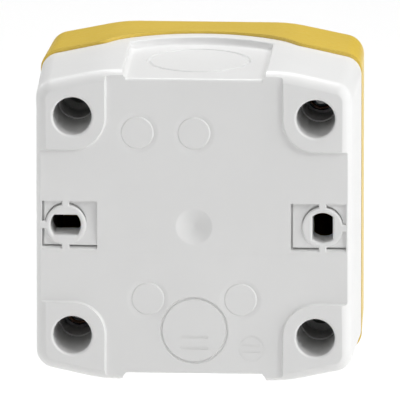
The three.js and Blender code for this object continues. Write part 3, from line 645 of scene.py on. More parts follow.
def rounded_block(x0, x1, y0, y1, z0, z1):
    """A block kept inside a pocket, whose edges are rounded where it meets the field."""
    sections = [(z0, BRIDGE_EDGE)]
    sections += [(z, inset) for inset, z in rim(0, FIELD, BRIDGE_EDGE, 4)]
    sections.append((z1, 0))
    return loft([(z, rectangle(x0 + d, x1 - d, y0 + d, y1 - d)) for z, d in sections])


def pocket_outline():
    """A pocket's (y, z) outline, with a chamfered lower rim."""
    across, along = POCKET_CHAMFER
    wall = -POCKET_HALF + across
    outline = [(POCKET_HALF, -BEYOND), (-POCKET_HALF, -BEYOND), (-POCKET_HALF, FIELD)]
    return outline + [(wall, FIELD + along), (wall, POCKET_FLOOR), (POCKET_HALF, POCKET_FLOOR)]


def island_outline(sunk, ramp):
    """The (y, z) outline of what stands in a pocket: its face sinks by ramp towards the pocket's top."""
    low = -POCKET_HALF + POCKET_CHAMFER[0] + POCKET_GROOVE
    high = POCKET_HALF + BEYOND
    outline = [(high, POCKET_FLOOR + BEYOND), (low, POCKET_FLOOR + BEYOND)]
    steps = 16
    for k in range(steps + 1):
        t = k / steps
        outline.append((low + t * (high - low), FIELD + sunk + ramp * (2 * t - t * t)))
    return outline


def fixing_pocket(side):
    """The pocket round a slot's boss. Three bridges cross it, and a groove edges what stands in it."""
    x = side * FIXING_X
    above = -2 * BEYOND
    deepest = POCKET_FLOOR + 2 * BEYOND
    overlap = 0.1
    low, high = span(side, POCKET_INNER, POCKET_OUTER)
    hollow = prism_along_x(pocket_outline(), low, high)
    first, second = (INNER_ISLAND, OUTER_ISLAND) if side > 0 else (OUTER_ISLAND, INNER_ISLAND)
    island = join(
        prism_along_x(island_outline(*first), low - overlap, x + overlap),
        prism_along_x(island_outline(*second), x, high - POCKET_GROOVE),
    )
    moat = cylinder(POCKET_BOSS, above, deepest + BEYOND, x, POCKET_GROOVE)
    boss = [(0, above), (POCKET_BOSS - BOSS_EDGE, above)]
    boss += [(POCKET_BOSS - r, z) for r, z in rim(0, FIELD, BOSS_EDGE)]
    boss += [(POCKET_BOSS, deepest), (0, deepest)]
    edge = POCKET_HALF + BEYOND
    outside = span(side, FIXING_X, POCKET_OUTER + BEYOND)
    kept = [
        cut(island, moat),
        turned(boss, x, 0),
        rounded_block(x - BRIDGE_HALF, x + BRIDGE_HALF, -edge, edge, above, deepest),
        rounded_block(*outside, -BRIDGE_HALF, BRIDGE_HALF, above, deepest),
    ]
    return cut(hollow, *kept)


def cable_entry(side):
    """The flat recess in the top (side 1) or bottom (side -1) wall, and its scored disc."""
    top = BASE_HALF - ENTRY_FLAT
    levels = [(z, -r) for r, z in rim(0, 0, ENTRY_FOOT, 5)]
    levels += [(top - r, z) for r, z in rim(0, 0, ENTRY_RIM, 4)]
    levels.append((top + 2 * BEYOND, ENTRY_RIM))
    sections = []
    for height, grown in levels:
        half, radius = ENTRY_HALF + grown, ENTRY_ARCH_RADIUS + grown
        start = math.acos(half / radius)
        arch = arc(0, ARCH_CENTRE, radius, start, math.pi - start, 40)
        sections.append((height, [(-half, -BEYOND), (half, -BEYOND), *arch]))
    score = []
    for across, height in ((-0.6, 0.3), (-0.45, 0), (-0.2, -0.4), (0.2, -0.4), (0.45, 0), (0.6, 0.3)):
        score.append((KNOCKOUT_RADIUS + across, height))
    # (x, z, height) becomes (x, y, z), with the flat following the wall's draft
    lean = Matrix(((1, 0, 0, 0), (0, side * DRAFT, side, side * ENTRY_FLAT), (0, 1, 0, 0), (0, 0, 0, 1)))
    tools = [loft(sections), turned(score, 0, ENTRY_CENTRE, sides=128)]
    for tool in tools:
        tool.transform(lean)
        if side > 0:
            tool.flip_normals()
    return tools


def entry_edge(side):
    """Rounds the edge between a cable entry's flat and the rear field."""
    end = FIELD + ENTRY_EDGE
    flat = ENTRY_FLAT + DRAFT * end
    outline = arc(flat - ENTRY_EDGE, end, ENTRY_EDGE, -math.pi / 2, 0, 8)
    start = FIELD - BEYOND
    outline += [(flat + BEYOND, end), (flat + BEYOND, start), (flat - ENTRY_EDGE, start)]
    half = ENTRY_HALF - 0.6  # short of the recess's side fillets
    return prism_along_x([(side * y, z) for y, z in outline], -half, half)


def rear_knockout():
    r = REAR_KNOCKOUT_RADIUS
    profile = [(r - 0.5, -BEYOND), (r - 0.34, FIELD), (r - 0.12, FIELD + 0.4)]
    profile += [(r + 0.12, FIELD + 0.4), (r + 0.34, FIELD), (r + 0.5, -BEYOND)]
    return turned(profile, 0, REAR_KNOCKOUT_Y, sides=128)


def knockout_bars():
    """Two level bars sunk into the knock-out's face."""
    half, thin, sunk = 2.9, 0.28, 0.14
    return [box(-half, half, y - thin, y + thin, -BEYOND, FIELD + sunk) for y in KNOCKOUT_BARS]


def plain_mark(x, y):
    """A sunk ring crossed by two bars, where a moulder puts a mark."""
    inner, outer, sunk = 2.35, 2.8, 0.1
    half, thin = 1.9, 0.22
    tools = [washer(inner, outer, -BEYOND, FIELD + sunk, 0, x, y)]
    for level in (y + 0.7, y - 0.7):
        tools.append(box(x - half, x + half, level - thin, level + thin, -BEYOND, FIELD + sunk))
    return tools


def gate_dimple():
    """A shallow cone with a rounded rim, left by the mould's gate."""
    outer = DIMPLE_RADIUS + 0.3
    profile = [(0, -BEYOND), (outer, -BEYOND), (outer, FIELD), (DIMPLE_RADIUS, FIELD + 0.06)]
    profile += [(DIMPLE_RADIUS - 0.3, FIELD + 0.2), (0.4, FIELD + DIMPLE_DEPTH - 0.05)]
    profile.append((0, FIELD + DIMPLE_DEPTH))
    return turned(profile)


def ejector_mark(x, y):
    """A faint ring: steep on its inside and fading outwards."""
    inner, outer, deep = 3.2, 4.7, 0.2
    profile = [(inner, -BEYOND), (inner, FIELD), (inner + 0.25, FIELD + deep)]
    steps = 6
    for k in range(1, steps + 1):
        t = k / steps
        fade = FIELD + deep * (1 - t) ** 2 - (0.001 if k == steps else 0)
        profile.append((inner + 0.3 + (outer - inner - 0.3) * t, fade))
    profile.append((outer, -BEYOND))
    return turned(profile, x, y)


def sink_groove(x0, x1, y, drop):
    """A faint level line: steep at its top and fading downwards."""
    outline = [(y + 0.12, FIELD - 0.3), (y, FIELD + 0.05), (y - drop * 0.4, FIELD + 0.02)]
    outline += [(y - drop, FIELD - 0.001), (y - drop, FIELD - 0.3)]
    return prism_along_x(outline, x0, x1)


def base_housing():
    rim_outline = base_outline(JOINT_DEPTH, SPIGOT_INSET)
    shell = join(filleted_base(), prism(rim_outline, FLOOR, SPIGOT_TOP))
    inside = prism(base_outline(JOINT_DEPTH, CAVITY_INSET), FLOOR, SPIGOT_TOP + BEYOND)
    kept = [cylinder(BOSS_RADIUS, 0, BOSS_TOP, x, y) for x, y in (*SCREW_CORNERS.values(), *EMPTY_CORNERS)]
    for side in (1, -1):
        across = span(side, SLOT_WALL_START, BASE_HALF)
        kept.append(box(*across, -SLOT_WALL_HALF, SLOT_WALL_HALF, 0, SLOT_WALL_END))
        kept.append(cylinder(PILLAR_RADIUS, 0, PILLAR_TOP, side * PILLAR_X, 0))
    tools = [cut(inside, *kept), rear_field()]
    for corners, hole in ((SCREW_CORNERS.values(), INSERT_SEAT), (EMPTY_CORNERS, WELL_HOLE)):
        tools += [well(x, y, hole) for x, y in corners]
    for side in (1, -1):
        tools += [fixing_pocket(side), fixing_slot(side, side > 0), *cable_entry(side), entry_edge(side)]
        tools.append(cylinder(PILLAR_BORE, FLOOR + 0.4, PILLAR_TOP + 0.3, side * PILLAR_X, 0))
    tools += [rear_knockout(), gate_dimple(), *knockout_bars(), *plain_mark(MARK_X, MARK_Y)]
    tools += [ejector_mark(x, y) for x, y in EJECTOR_MARKS]
    tools += [sink_groove(start, end, SINK_LINE_Y, SINK_LINE_HEIGHT) for start, end in SINK_LINES]
    return cut(shell, *tools)


# ---- front cover

def front_cover():
    start = JOINT_DEPTH - BEYOND
    opened = COVER_FRONT + BEYOND
    sections = [(start, cover_outline(start))]
    for drop, inset in rim(0, 0, COVER_FILLET, 8):
        sections.append((COVER_FRONT - drop, cover_outline(COVER_FRONT - drop, inset)))
    skirt = prism(base_outline(JOINT_DEPTH, SPIGOT_INSET - 0.15), SKIRT_START, LEDGE)
    inner = prism(base_outline(JOINT_DEPTH, CAVITY_INSET), SKIRT_START, PLATE_BACK)
    bosses = []
    holes = []
    for x, y in SCREW_CORNERS.values():
        bosses.append(cylinder(COVER_BOSS_RADIUS, BOSS_TOP + 0.3, PLATE_BACK + BEYOND, x, y))
        bosses.append(cylinder(BOSS_RADIUS, LEDGE + 1, PLATE_BACK + BEYOND, x, y))
        bore = [(0, SKIRT_START), (SCREW_BORE, SKIRT_START), (SCREW_BORE, COUNTERBORE_FLOOR)]
        bore.append((COUNTERBORE_RADIUS, COUNTERBORE_FLOOR))
        mouth = [(r, 2 * COVER_FRONT - z) for r, z in reversed(rim(COUNTERBORE_RADIUS, COVER_FRONT, 0.3, 4))]
        holes.append(turned([*bore, *mouth, (COUNTERBORE_RADIUS + 0.3, opened), (0, opened)], x, y))
    hollow = cut(join(skirt, inner), *bosses)
    panel_hole = cylinder(PANEL_HOLE, PLATE_BACK - BEYOND, opened, sides=128)
    behind = prism_along_y(behind_joint(SEAM), -REACH, REACH)
    return cut(loft(sections), behind, hollow, *holes, panel_hole)


stand_for("base_housing", base_housing(), "grey_shell")
stand_for("front_cover", front_cover(), "yellow_shell")


# ---- threads, screws and springs

HELIX_STEPS = 28


def sweep_helix(section_at, turns, x=0.0, y=0.0):
    """Skins sections along a helix: section_at(t) gives (radius, z) points for t from 0 to 1."""
    count = math.ceil(turns * HELIX_STEPS)
    vertices = []
    for k in range(count + 1):
        t = k / count
        angle = 2 * math.pi * turns * t
        for radius, z in section_at(t):
            vertices.append((x + radius * math.cos(angle), y + radius * math.sin(angle), z))
    size = len(vertices) // (count + 1)
    faces = [tuple(range(size)), tuple(range(count * size, (count + 1) * size))]
    for k in range(count):
        for i in range(size):
            a = k * size + i
            b = k * size + (i + 1) % size
            faces.append((a, b, b + size, a + size))
    return edited(mesh_of(vertices, faces), lambda bm: bmesh.ops.recalc_face_normals(bm, faces=bm.faces))


def thread(core, crest, low, high, pitch, x=0.0, y=0.0):
    """The ridge of a screw thread, which runs out at both ends."""
    turns = (high - low) / pitch
    runout = 0.4 / turns
    overlap = 0.08

    def section(t):
        full = min(1.0, t / runout, (1 - t) / runout)
        top = core + (crest - core) * max(full, 0.05)
        z = low + (high - low) * t
        flank, flat = pitch * 0.42, pitch * 0.07
        return [(core - overlap, z - flank), (top, z - flat), (top, z + flat), (core - overlap, z + flank)]

    return sweep_helix(section, turns, x, y)


def cross_recess(x, y, top, half, depth):
    """A cross recess that narrows towards its floor."""
    sections = []
    for z, size in ((top - depth, 0.5), (top, 1.0), (top + BEYOND, 1.0)):
        reach, thin = half * size, half * 0.22 * (0.6 + 0.4 * size)
        outline = []
        for turn in range(4):
            rotation = Matrix.Rotation(turn * math.pi / 2, 2)
            corners = [rotation @ Vector(c) for c in [(reach, -thin), (reach, thin), (thin, thin)]]
            outline += [(x + c.x, y + c.y) for c in corners]
        sections.append((z, outline))
    return loft(sections)


def cross_screw(node, shank, head, head_height, pitch, threaded):
    """A screw with a rounded cheese head, a cross recess, and a thread over the given length."""
    low, high, x, y = placed(node)
    core = shank - pitch * 0.45
    tip, top = low.z, high.z
    head_back = top - head_height
    runout = tip + threaded
    body = [(0, tip), (core - 0.3, tip), (core, tip + 0.35), (core, runout), (shank, runout + 0.3)]
    body += [(shank, head_back + 0.3), (0, head_back + 0.3)]
    outline = [(0, head_back), (head, head_back, 0.15), (head, top - 0.15, 0.55), (0, top + 0.12)]
    dome = common(turned(rounded(outline, 15), x, y), cylinder(head + 1, head_back - 1, top, x, y))
    screw = join(dome, turned(body, x, y, 48), thread(core, shank, tip + 0.1, runout + 0.1, pitch, x, y))
    return cut(screw, cross_recess(x, y, top, head * 0.62, head_height * 0.62))


def spring(node, wire, turns):
    """A wire spring with closed ends, as long as its CAD node."""
    low, high, x, y = placed(node)
    radius = (high.x - low.x) / 2 - wire
    closed = 0.9 / turns
    first, last = low.z + wire, high.z - wire
    rise = 2 * wire * 0.9
    sides = 14

    def height(t):
        if t < closed:
            return first + rise * t / closed
        if t > 1 - closed:
            return last - rise * (1 - t) / closed
        share = (t - closed) / (1 - 2 * closed)
        return first + rise + (last - first - 2 * rise) * share

    def section(t):
        return arc(radius, height(t), wire, 0, 2 * math.pi, sides)[:-1]

    return sweep_helix(section, turns, x, y)


def softened(mesh, width):
    """Rounds the sharp edges of a flat-sided moulding or stamping."""
    flat, sharp = math.radians(1), math.radians(40)
    look = {"segments": 2, "profile": 0.5, "affect": "EDGES", "clamp_overlap": True}

    def soften(bm):
        bmesh.ops.dissolve_limit(bm, angle_limit=flat, verts=bm.verts, edges=bm.edges)
        edges = [e for e in bm.edges if e.is_manifold and e.calc_face_angle() > sharp]
        bmesh.ops.bevel(bm, geom=edges, offset=width, **look)

    return edited(mesh, soften)


# ---- cover screws, seals and inserts

COVER_SCREW = {"shank": 1.9, "head": 3.6, "head_height": 2.8, "pitch": 0.7, "threaded": 11}
INSERT_RADIUS = 2.9
INSERT_SIDES = 12


def screw_insert(node):
    """A brass bush with a faceted outside, and the grooves of its thread inside."""
    low, high, x, y = placed(node)
    corners = [(0, low.z), (INSERT_RADIUS, low.z, 0.15), (INSERT_RADIUS, high.z, 0.2), (0, high.z)]
    blank = turned(rounded(corners, 30), x, y, INSERT_SIDES)
    mouth = 0.25
    bore = [(0, low.z - BEYOND), (SCREW_BORE + mouth, low.z - BEYOND), (SCREW_BORE + mouth, low.z)]
    bore += [(SCREW_BORE, low.z + mouth), (SCREW_BORE, high.z + BEYOND), (0, high.z + BEYOND)]
    groove = thread(SCREW_BORE, SCREW_BORE + 0.22, low.z + 0.6, high.z - 0.6, 0.7, x, y)
    return cut(blank, turned(bore, x, y), groove)


def cover_gasket():
    """A rubber frame of rounded section between the base's rim and the cover."""
    low, high = panel_box("cover_gasket")
    round_off = 0.4

    def sections(inset, sign, extra):
        rows = [(low.z - extra, base_outline(JOINT_DEPTH, inset + sign * round_off))] if extra else []
        for grown, z in rim(0, low.z, round_off, 5):
            rows.append((z, base_outline(JOINT_DEPTH, inset + sign * grown)))
        mirrored = [(low.z + high.z - z, points) for z, points in reversed(rows)]
        return rows + mirrored

    outer = loft(sections(SPIGOT_INSET, 1, 0))
    inner = loft(sections(CAVITY_INSET, -1, BEYOND))
    return cut(outer, inner)


for corner, (x, y) in SCREW_CORNERS.items():
    fit(f"cover_screw_{corner}", "screw_steel", cross_screw, **COVER_SCREW)
    low, high = panel_box(f"screw_seal_{corner}")
    stand_for(f"screw_seal_{corner}", washer(SCREW_BORE, 3.5, low.z, high.z, 0.35, x, y), "seal_rubber")
    fit(f"screw_insert_{corner}", "insert_brass", screw_insert)
stand_for("cover_gasket", cover_gasket(), "seal_rubber")


# ---- operator and palm head

TUBE_RADIUS = 10.95
THREAD_CORE = 10.2
COLLAR_RADIUS = 12.4
FLANGE_RADIUS = 14.4
BODY_BORE = 8.3
WIPER_SEAT = 10.1
ROD_BORE = 5.0
HUB_RADIUS = 8.2


def around(mesh_at, count, first=0.0):
    """Copies of a tool made at the x axis, turned evenly about the z axis."""
    made = []
    for k in range(count):
        made.append(turn_to(mesh_at(), Matrix.Rotation(first + 2 * math.pi * k / count, 4, "Z")))
    return made


def operator_body():
    low, high = panel_box("operator_body")
    back, front = low.z, high.z
    flange_back = COVER_FRONT + 1.5
    flange_front = flange_back + 2.6
    shoulder_back, shoulder_front = 40, 43
    wiper_back = front - 2.1
    corners = [(BODY_BORE, back, 0.3), (THREAD_CORE, back, 0.5), (THREAD_CORE, flange_back, 0.2)]
    corners += [(FLANGE_RADIUS, flange_back, 0.3), (FLANGE_RADIUS, flange_front, 0.6)]
    corners += [(COLLAR_RADIUS, flange_front, 0.15), (COLLAR_RADIUS, front, 0.6)]
    corners += [(WIPER_SEAT, front, 0.25), (WIPER_SEAT, wiper_back), (BODY_BORE, wiper_back, 0.15)]
    corners += [(BODY_BORE, shoulder_front, 0.3), (ROD_BORE, shoulder_front, 0.3)]
    corners += [(ROD_BORE, shoulder_back, 0.3), (BODY_BORE, shoulder_back, 0.3)]
    ridge = thread(THREAD_CORE, TUBE_RADIUS, back + 0.5, flange_back - 1.2, 1.5)
    key_half = 1.2
    key_floor, key_end = -THREAD_CORE + 0.1, flange_back - 0.6
    keyway = box(-key_half, key_half, -TUBE_RADIUS - BEYOND, key_floor, back - BEYOND, key_end)
    grips, grip_radius, grip_x = 24, 0.8, FLANGE_RADIUS + 0.45
    grip_back, grip_front = flange_back - BEYOND, flange_front + BEYOND
    grooves = around(lambda: cylinder(grip_radius, grip_back, grip_front, grip_x, 0, 24), grips)
    return cut(join(turned(rounded(corners, 12), sides=128), ridge), keyway, *grooves)


def bezel_ring():
    low, high = panel_box("bezel_ring")
    inner, outer = COLLAR_RADIUS + 0.3, FLANGE_RADIUS + 0.3
    corners = [(inner, low.z, 0.1), (outer, low.z, 0.2), (outer, low.z + 1.5, 0.6)]
    corners += [(outer - 0.8, high.z, 0.5), (inner, high.z, 0.3)]
    return turned(rounded(corners, 8), sides=160)


def fixing_nut():
    low, high = panel_box("fixing_nut")
    inner, outer = TUBE_RADIUS + 0.3, (high.x - low.x) / 2
    notch, notches = 1.2, 8
    corners = [(inner, low.z, 0.4), (outer, low.z, 0.5), (outer, high.z, 0.5), (inner, high.z, 0.4)]
    tools = around(lambda: box(outer - notch, outer + 1, -notch, notch, low.z - 1, high.z + 1), notches)
    return softened(cut(turned(rounded(corners, 30)), *tools), 0.12)


def wiper_seal():
    """A rubber ring with a lip towards the stem and a groove in its front."""
    low, high = panel_box("wiper_seal")
    inner, outer = HUB_RADIUS, (high.x - low.x) / 2
    corners = [(inner + 0.5, low.z, 0.1), (outer, low.z, 0.2), (outer, high.z, 0.2)]
    corners += [(outer - 0.5, high.z, 0.1), (outer - 0.7, high.z - 0.7, 0.1)]
    corners += [(inner + 0.3, high.z, 0.08), (inner, high.z, 0.05)]
    return turned(rounded(corners, 15), sides=128)


def mushroom_head():
    """The palm button: a wide shallow dome on a hub, with ribs underneath."""
    low, high = panel_box("mushroom_head")
    edge, top = (high.x - low.x) / 2, high.z
    rise, dome_edge = 4.1, edge - 1
    sphere = (dome_edge ** 2 + rise ** 2) / (2 * rise)
    reach = math.asin(dome_edge / sphere)
    hub_top = top - 11.7
    corners = [(0, hub_top), (HUB_RADIUS, hub_top), (HUB_RADIUS, low.z, 0.3), (10.6, low.z, 0.4)]
    corners += [(11.4, top - 12, 1.5), (14, top - 9.6, 3), (edge - 1.1, top - 7.9, 1.5)]
    corners += [(edge, top - 6.6, 0.8), (edge, top - rise - 0.45, 1.0)]
    steps = 40
    for k in range(steps + 1):
        angle = reach * (1 - k / steps)
        corners.append((sphere * math.sin(angle), top - sphere * (1 - math.cos(angle))))
    foot, tip, half, count = 10.8, 17.6, 0.5, 8
    rib = [(foot, top - 12.6), (tip, top - 8.9), (tip, top - 6), (foot, top - 8)]
    ribs = around(lambda: prism_along_y(rib, -half, half), count)
    return join(turned(rounded(corners, 8), sides=192), *ribs)


def head_stem():
    low, high = panel_box("head_stem")
    rod, wide, groove = 4.6, 7.9, 3.6
    clip_back, clip_front, step = 38.3, 40, 53.5
    corners = [(0, low.z), (rod - 0.8, low.z, 0.2), (rod, low.z + 0.8, 0.3), (rod, clip_back, 0.1)]
    corners += [(groove, clip_back), (groove, clip_front), (rod, clip_front, 0.1), (rod, step, 0.4)]
    corners += [(wide, step, 0.4)]
    sunk = wide - 0.35
    for ring in (high.z - 4.4, high.z - 2.2):
        corners += [(wide, ring - 0.4, 0.1), (sunk, ring - 0.2), (sunk, ring + 0.2), (wide, ring + 0.4, 0.1)]
    corners += [(wide, high.z, 0.5), (0, high.z)]
    return turned(rounded(corners, 15))


def stem_clip():
    """An open ring of spring steel, with three prongs in the stem's groove."""
    low, high = panel_box("stem_clip")
    outer = (high.x - low.x) / 2
    middle = (low.z + high.z) / 2
    inner, prong_in, prong_out, prong_half, gap_half = 4.9, 3.9, 5.4, 0.8, 1.6
    back, front = low.z + 0.05, high.z - 0.05
    corners = [(inner, low.z, 0.1), (outer, low.z, 0.2), (outer, high.z, 0.2), (inner, high.z, 0.1)]
    ring = turned(rounded(corners, 30))
    prongs = around(lambda: box(prong_in, prong_out, -prong_half, prong_half, back, front), 3, -math.pi / 2)
    opening = box(-gap_half, gap_half, 0, outer + BEYOND, middle - 2, middle + 2)
    return softened(cut(join(ring, *prongs), opening), 0.1)


low, high = panel_box("operator_seal")
stand_for("operator_seal", washer(TUBE_RADIUS + 0.35, high.x, low.z, high.z, 0.3, sides=128), "seal_rubber")
stand_for("operator_body", operator_body(), "black_body")
stand_for("bezel_ring", bezel_ring(), "bezel_chrome")
stand_for("fixing_nut", fixing_nut(), "screw_steel")
stand_for("wiper_seal", wiper_seal(), "seal_rubber")
stand_for("mushroom_head", mushroom_head(), "red_head")
stand_for("head_stem", head_stem(), "black_body")
stand_for("stem_clip", stem_clip(), "spring_steel")


# ---- contact block

BLOCK_HALF_X = 11.6
BLOCK_HALF_Y = 21.0
EAR_RADIUS = 3.4
EAR_HOLE = 1.7
EAR_BACK = 9.3
EAR_FRONT = 11.5
GROOVES = (7.0, 12.5, 18.0)
GROOVE_Y = (4.6, 19.4)
GROOVE_DEPTH = 0.35
GROOVE_WIDTH = 1.6
BAY_X = (1.8, 9.8)
BAY_START = 10.2
PASSAGE_X = (3.1, 8.1)
PASSAGE_Y = (8.0, 11.0)
CHAMBER_HALF_X = 9.6
CHAMBER_HALF_Y = 8.6
CHAMBER_FLOOR = 7.8
BAR_X = 5.6
BAR_THICKNESS = 0.8
CONTACT_Y = 5.6
CONTACT_RADIUS = 1.3
TERMINAL_Y = 15.5
TERMINAL_SCREW = {"shank": 1.45, "head": 2.8, "head_height": 1.9, "pitch": 0.5, "threaded": 7}
BLOCK_SCREW = {"shank": 1.3, "head": 2.7, "head_height": 2.2, "pitch": 0.6, "threaded": 6}
SCREW_END = 11.0  # how deep the block's screw holes reach
CONTACT_SIDES = {"nc": 1, "no": -1}
END_SIDES = {"upper": 1, "lower": -1}


def block_housing():
    """The block's body: a chamber for the moving parts, a bay for each terminal, and two ears."""
    low, high = panel_box("block_housing")
    opened = high.z + BEYOND
    ears = []
    tools = [box(-CHAMBER_HALF_X, CHAMBER_HALF_X, -CHAMBER_HALF_Y, CHAMBER_HALF_Y, CHAMBER_FLOOR, opened)]
    for side in (1, -1):
        across = span(side, BLOCK_HALF_X - 1, PILLAR_X)
        ears.append(box(*across, -EAR_RADIUS, EAR_RADIUS, EAR_BACK, EAR_FRONT))
        ears.append(cylinder(EAR_RADIUS, EAR_BACK, EAR_FRONT, side * PILLAR_X, 0, 48))
        tools.append(cylinder(EAR_HOLE, EAR_BACK - BEYOND, EAR_FRONT + 1.8, side * PILLAR_X, 0, 48))
        groove_x = BLOCK_HALF_X - GROOVE_DEPTH, BLOCK_HALF_X + BEYOND
        for z in GROOVES:
            tools += [quadrant_box(side, end, *groove_x, *GROOVE_Y, z, z + GROOVE_WIDTH) for end in (1, -1)]
    for contact, side in CONTACT_SIDES.items():
        for name, end in END_SIDES.items():
            floor = panel_box(f"{contact}_{name}_strip")[0].z - 0.3
            tools.append(quadrant_box(side, end, *BAY_X, BAY_START, BLOCK_HALF_Y + BEYOND, floor, opened))
            tools.append(quadrant_box(side, end, *PASSAGE_X, *PASSAGE_Y, floor, opened))
            tools.append(terminal_hole(side, end, 0.4, SCREW_END, floor + 1))
    body = join(box(-BLOCK_HALF_X, BLOCK_HALF_X, -BLOCK_HALF_Y, BLOCK_HALF_Y, low.z, high.z), *ears)
    return softened(cut(body, *tools), 0.2)


def block_cover():
    """The plate that closes the chamber, with a guide ring for the plunger and two recessed fields."""
    low, high = panel_box("block_cover")
    thickness, sunk = 1.6, 0.3
    guide_radius, bore_radius = 5.4, 3.8
    field_half, field_low, field_high = 9.4, 6.3, 8.7
    face = low.z + thickness
    plate = box(low.x, high.x, low.y, high.y, low.z, face)
    guide = cylinder(guide_radius, low.z, high.z)
    fields = [box(-field_half, field_half, *span(end, field_low, field_high), face - sunk, high.z)
              for end in (1, -1)]
    bore = cylinder(bore_radius, low.z - BEYOND, high.z + BEYOND)
    return softened(cut(join(cut(plate, *fields), guide), bore), 0.15)


def contact_plunger():
    """A slab with a window for each bar and each bar's spring, and the tip that the stem presses."""
    half_x, half_y, back, front = 9.2, 2.4, 13.2, 27.4
    tip_radius, tip_back, tip_front = 3.4, 27.0, 36.0
    bore_radius, bore_end = 2.2, 21.0
    window_x, window_y = (3, 8.2), half_y + 0.6
    slab = box(-half_x, half_x, -half_y, half_y, back, front)
    corners = [(0, tip_back), (tip_radius, tip_back), (tip_radius, tip_front, 0.7), (0, tip_front)]
    tools = []
    for side, windows in ((1, ((14, 20.1), (21.4, 26.6))), (-1, ((14, 20.6), (22, 26.6)))):
        for window in windows:
            tools.append(box(*span(side, *window_x), -window_y, window_y, *window))
    tools.append(cylinder(bore_radius, back - BEYOND, bore_end, sides=48))
    return softened(cut(join(slab, turned(rounded(corners, 15))), *tools), 0.15)


def contact_bar(node):
    """A stamped copper bar, pierced at its middle for the spring's seat."""
    low, high, x, y = placed(node)
    tips_forward = CONTACT_SIDES[node[:2]] > 0
    back = low.z if tips_forward else high.z - BAR_THICKNESS
    corners = [(high.x, low.y, 0.9), (high.x, high.y, 0.9), (low.x, high.y, 0.9), (low.x, low.y, 0.9)]
    bar = prism(rounded(corners, 15), back, back + BAR_THICKNESS)
    seat = cylinder(0.6, back - 1, back + 2, x, y, 32)
    return softened(cut(bar, seat), 0.1)


def contact_tips(node):
    """The two silver buttons of a bar, slightly domed."""
    low, high, x, y = placed(node)
    tips_forward = CONTACT_SIDES[node[:2]] > 0
    root, face = (high.z - 0.6, high.z) if tips_forward else (low.z + 0.6, low.z)
    steps = 6
    profile = [(0, root), (CONTACT_RADIUS, root)]
    for k in range(steps + 1):
        t = 1 - k / steps
        profile.append((CONTACT_RADIUS * t, face - (face - root) * 0.35 * t ** 2))
    return join(turned(profile, x, y + CONTACT_Y, 48), turned(profile, x, y - CONTACT_Y, 48))


def terminal_hole(side, end, play, low, high):
    return cylinder(TERMINAL_SCREW["shank"] + play, low, high, side * BAR_X, end * TERMINAL_Y, 48)


def contact_strip(node, side, end):
    """A brass strip: a narrow neck under the bar's button and a wide plate under the screw."""
    low, high = panel_box(node)
    neck_half, neck_span = 2.2, (4.2, 12)
    plate_half, plate_span = 3.5, (11, 19.5)
    neck = quadrant_box(side, end, BAR_X - neck_half, BAR_X + neck_half, *neck_span, low.z, high.z)
    plate = quadrant_box(side, end, BAR_X - plate_half, BAR_X + plate_half, *plate_span, low.z, high.z)
    hole = terminal_hole(side, end, 0.3, low.z - 1, high.z + 1)
    return softened(cut(join(neck, plate), hole), 0.12)


def terminal_clamp(node, side, end):
    """A square saddle whose back is ribbed across the wire."""
    low, high = panel_box(node)
    hole = terminal_hole(side, end, 0.3, low.z - 1, high.z + 1)
    pitch, half, outside, deepest = 1.2, 0.3, low.z - 0.2, low.z + 0.25
    grooves = []
    for k in range(-2, 3):
        y = end * TERMINAL_Y + k * pitch
        outline = [(y - half, outside), (y + half, outside), (y, deepest)]
        grooves.append(prism_along_x(outline, low.x - 1, high.x + 1))
    return softened(cut(box(low.x, high.x, low.y, high.y, low.z, high.z), hole, *grooves), 0.08)


stand_for("block_housing", block_housing(), "block_body")
stand_for("block_cover", block_cover(), "block_body")
stand_for("contact_plunger", contact_plunger(), "plunger_white")
for contact, side in CONTACT_SIDES.items():
    fit(f"{contact}_bar", "contact_copper", contact_bar)
    piece(f"{contact}_contact_tips", contact_tips(f"{contact}_bar"), f"{contact}_bar", "screw_steel")
    for name, end in END_SIDES.items():
        tag = f"{contact}_{name}"
        fit(f"{tag}_strip", "contact_brass", contact_strip, side, end)
        fit(f"{tag}_clamp", "screw_steel", terminal_clamp, side, end)
        fit(f"{tag}_terminal_screw", "screw_steel", cross_screw, **TERMINAL_SCREW)
for side in ("left", "right"):
    fit(f"block_screw_{side}", "screw_steel", cross_screw, **BLOCK_SCREW)


# ---- springs

head_spring = fit("head_spring", "spring_steel", spring, wire=0.5, turns=5)
plunger_spring = fit("plunger_spring", "spring_steel", spring, wire=0.22, turns=9)
fit("nc_bar_spring", "spring_steel", spring, wire=0.2, turns=4)
no_bar_spring = fit("no_bar_spring", "spring_steel", spring, wire=0.2, turns=4)


def shorten(made, node):
    """Gives the spring a mesh of its own; its length stays as built."""
    low, high = panel_box(node)
    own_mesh(made)


shorten(head_spring, "head_spring")
shorten(plunger_spring, "plunger_spring")
shorten(no_bar_spring, "no_bar_spring")


# ---- camera, floor and light

AZIMUTH = math.radians(3.38)
ELEVATION = math.radians(12.1)
DISTANCE = 3.98
FRAME_WIDTH = 0.0839
SENSOR = 36.0
AIM_RIGHT = 0.00131
AIM_UP = 0.00578
FLOOR_DROP = 0.06  # the station hangs on a wall, so the floor lies below it
FLOOR_HALF = 1.6
FLOOR_TONE = 0.81
FLOOR_GLOW = 0.15

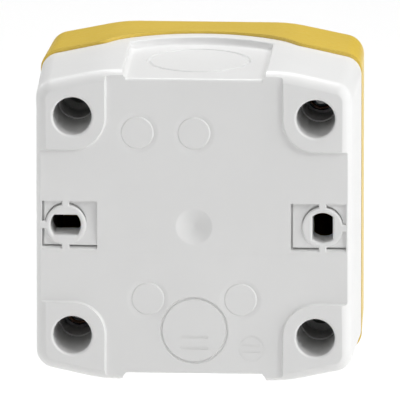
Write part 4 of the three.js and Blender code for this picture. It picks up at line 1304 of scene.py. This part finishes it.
toward = Vector((-math.sin(AZIMUTH) * math.cos(ELEVATION), math.cos(AZIMUTH) * math.cos(ELEVATION),
                 math.sin(ELEVATION)))
right = Vector((-math.cos(AZIMUTH), -math.sin(AZIMUTH), 0))
up = toward.cross(right)
camera_data = bpy.data.cameras.new("camera")
camera_data.sensor_width = SENSOR
camera_data.lens = SENSOR * DISTANCE / FRAME_WIDTH
camera_data.clip_end = 100
camera = shown("camera", camera_data)
camera.matrix_world = Matrix.Translation(right * AIM_RIGHT + up * AIM_UP + toward * DISTANCE) @ Matrix(
    (right, up, toward)).transposed().to_4x4()
bpy.context.scene.camera = camera

floor_mesh = bpy.data.meshes.new("studio_floor")
level = cad_box[0].z - FLOOR_DROP
floor_corners = [(x * FLOOR_HALF, y * FLOOR_HALF, level) for x, y in ((-1, -1), (1, -1), (1, 1), (-1, 1))]
floor_mesh.from_pydata(floor_corners, [], [(0, 1, 2, 3)])
floor = shown("studio_floor", floor_mesh)
_, paper_shader, _ = node_tree("studio_paper")
put(paper_shader, {"Base Color": (FLOOR_TONE, FLOOR_TONE, FLOOR_TONE, 1), "Roughness": 0.9})
put(paper_shader, {"Emission Color": (1, 1, 1, 1), "Emission Strength": FLOOR_GLOW})
floor_mesh.materials.append(MATERIALS["studio_paper"])
floor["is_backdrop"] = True

# a white backdrop beyond the floor, which lights nothing
world = bpy.data.worlds.new("studio")
world.use_nodes = True
world.node_tree.nodes["Background"].inputs["Color"].default_value = (1, 1, 1, 1)
world.cycles_visibility.diffuse = False
world.cycles_visibility.glossy = False
world.cycles_visibility.transmission = False
bpy.context.scene.world = world
bpy.context.scene.view_settings.view_transform = "Standard"


def softbox(name, place, power, size=0.9):
    """A round area light that looks at the object."""
    data = bpy.data.lights.new(name, "AREA")
    data.shape = "DISK"
    data.size = size
    data.energy = power
    lamp = shown(name, data)
    lamp.location = place
    lamp.rotation_euler = (-Vector(place)).to_track_quat("-Z", "Y").to_euler()


softbox("light_above", (0, 0.3, 1.6), 5.7)
softbox("light_above_right", (-1.05, 0.36, 1.02), 2.4)
softbox("light_key", (-1.0, 0.72, 1.0), 6.8, size=0.5)
softbox("light_above_wall_side", (0, 1.3, 0.9), 4.7)
softbox("light_above_user_side", (0, -0.8, 1.4), 14.6)
softbox("light_right", (-1.5, 0.05, 0.3), 10.2)
softbox("light_left", (1.5, 0.05, 0.3), 5.1)
softbox("light_user_side", (1.2, -1.1, 0.6), 5.7)

low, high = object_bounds()
{"cad": [list(cad_box[0]), list(cad_box[1])], "visual": [list(low), list(high)]}
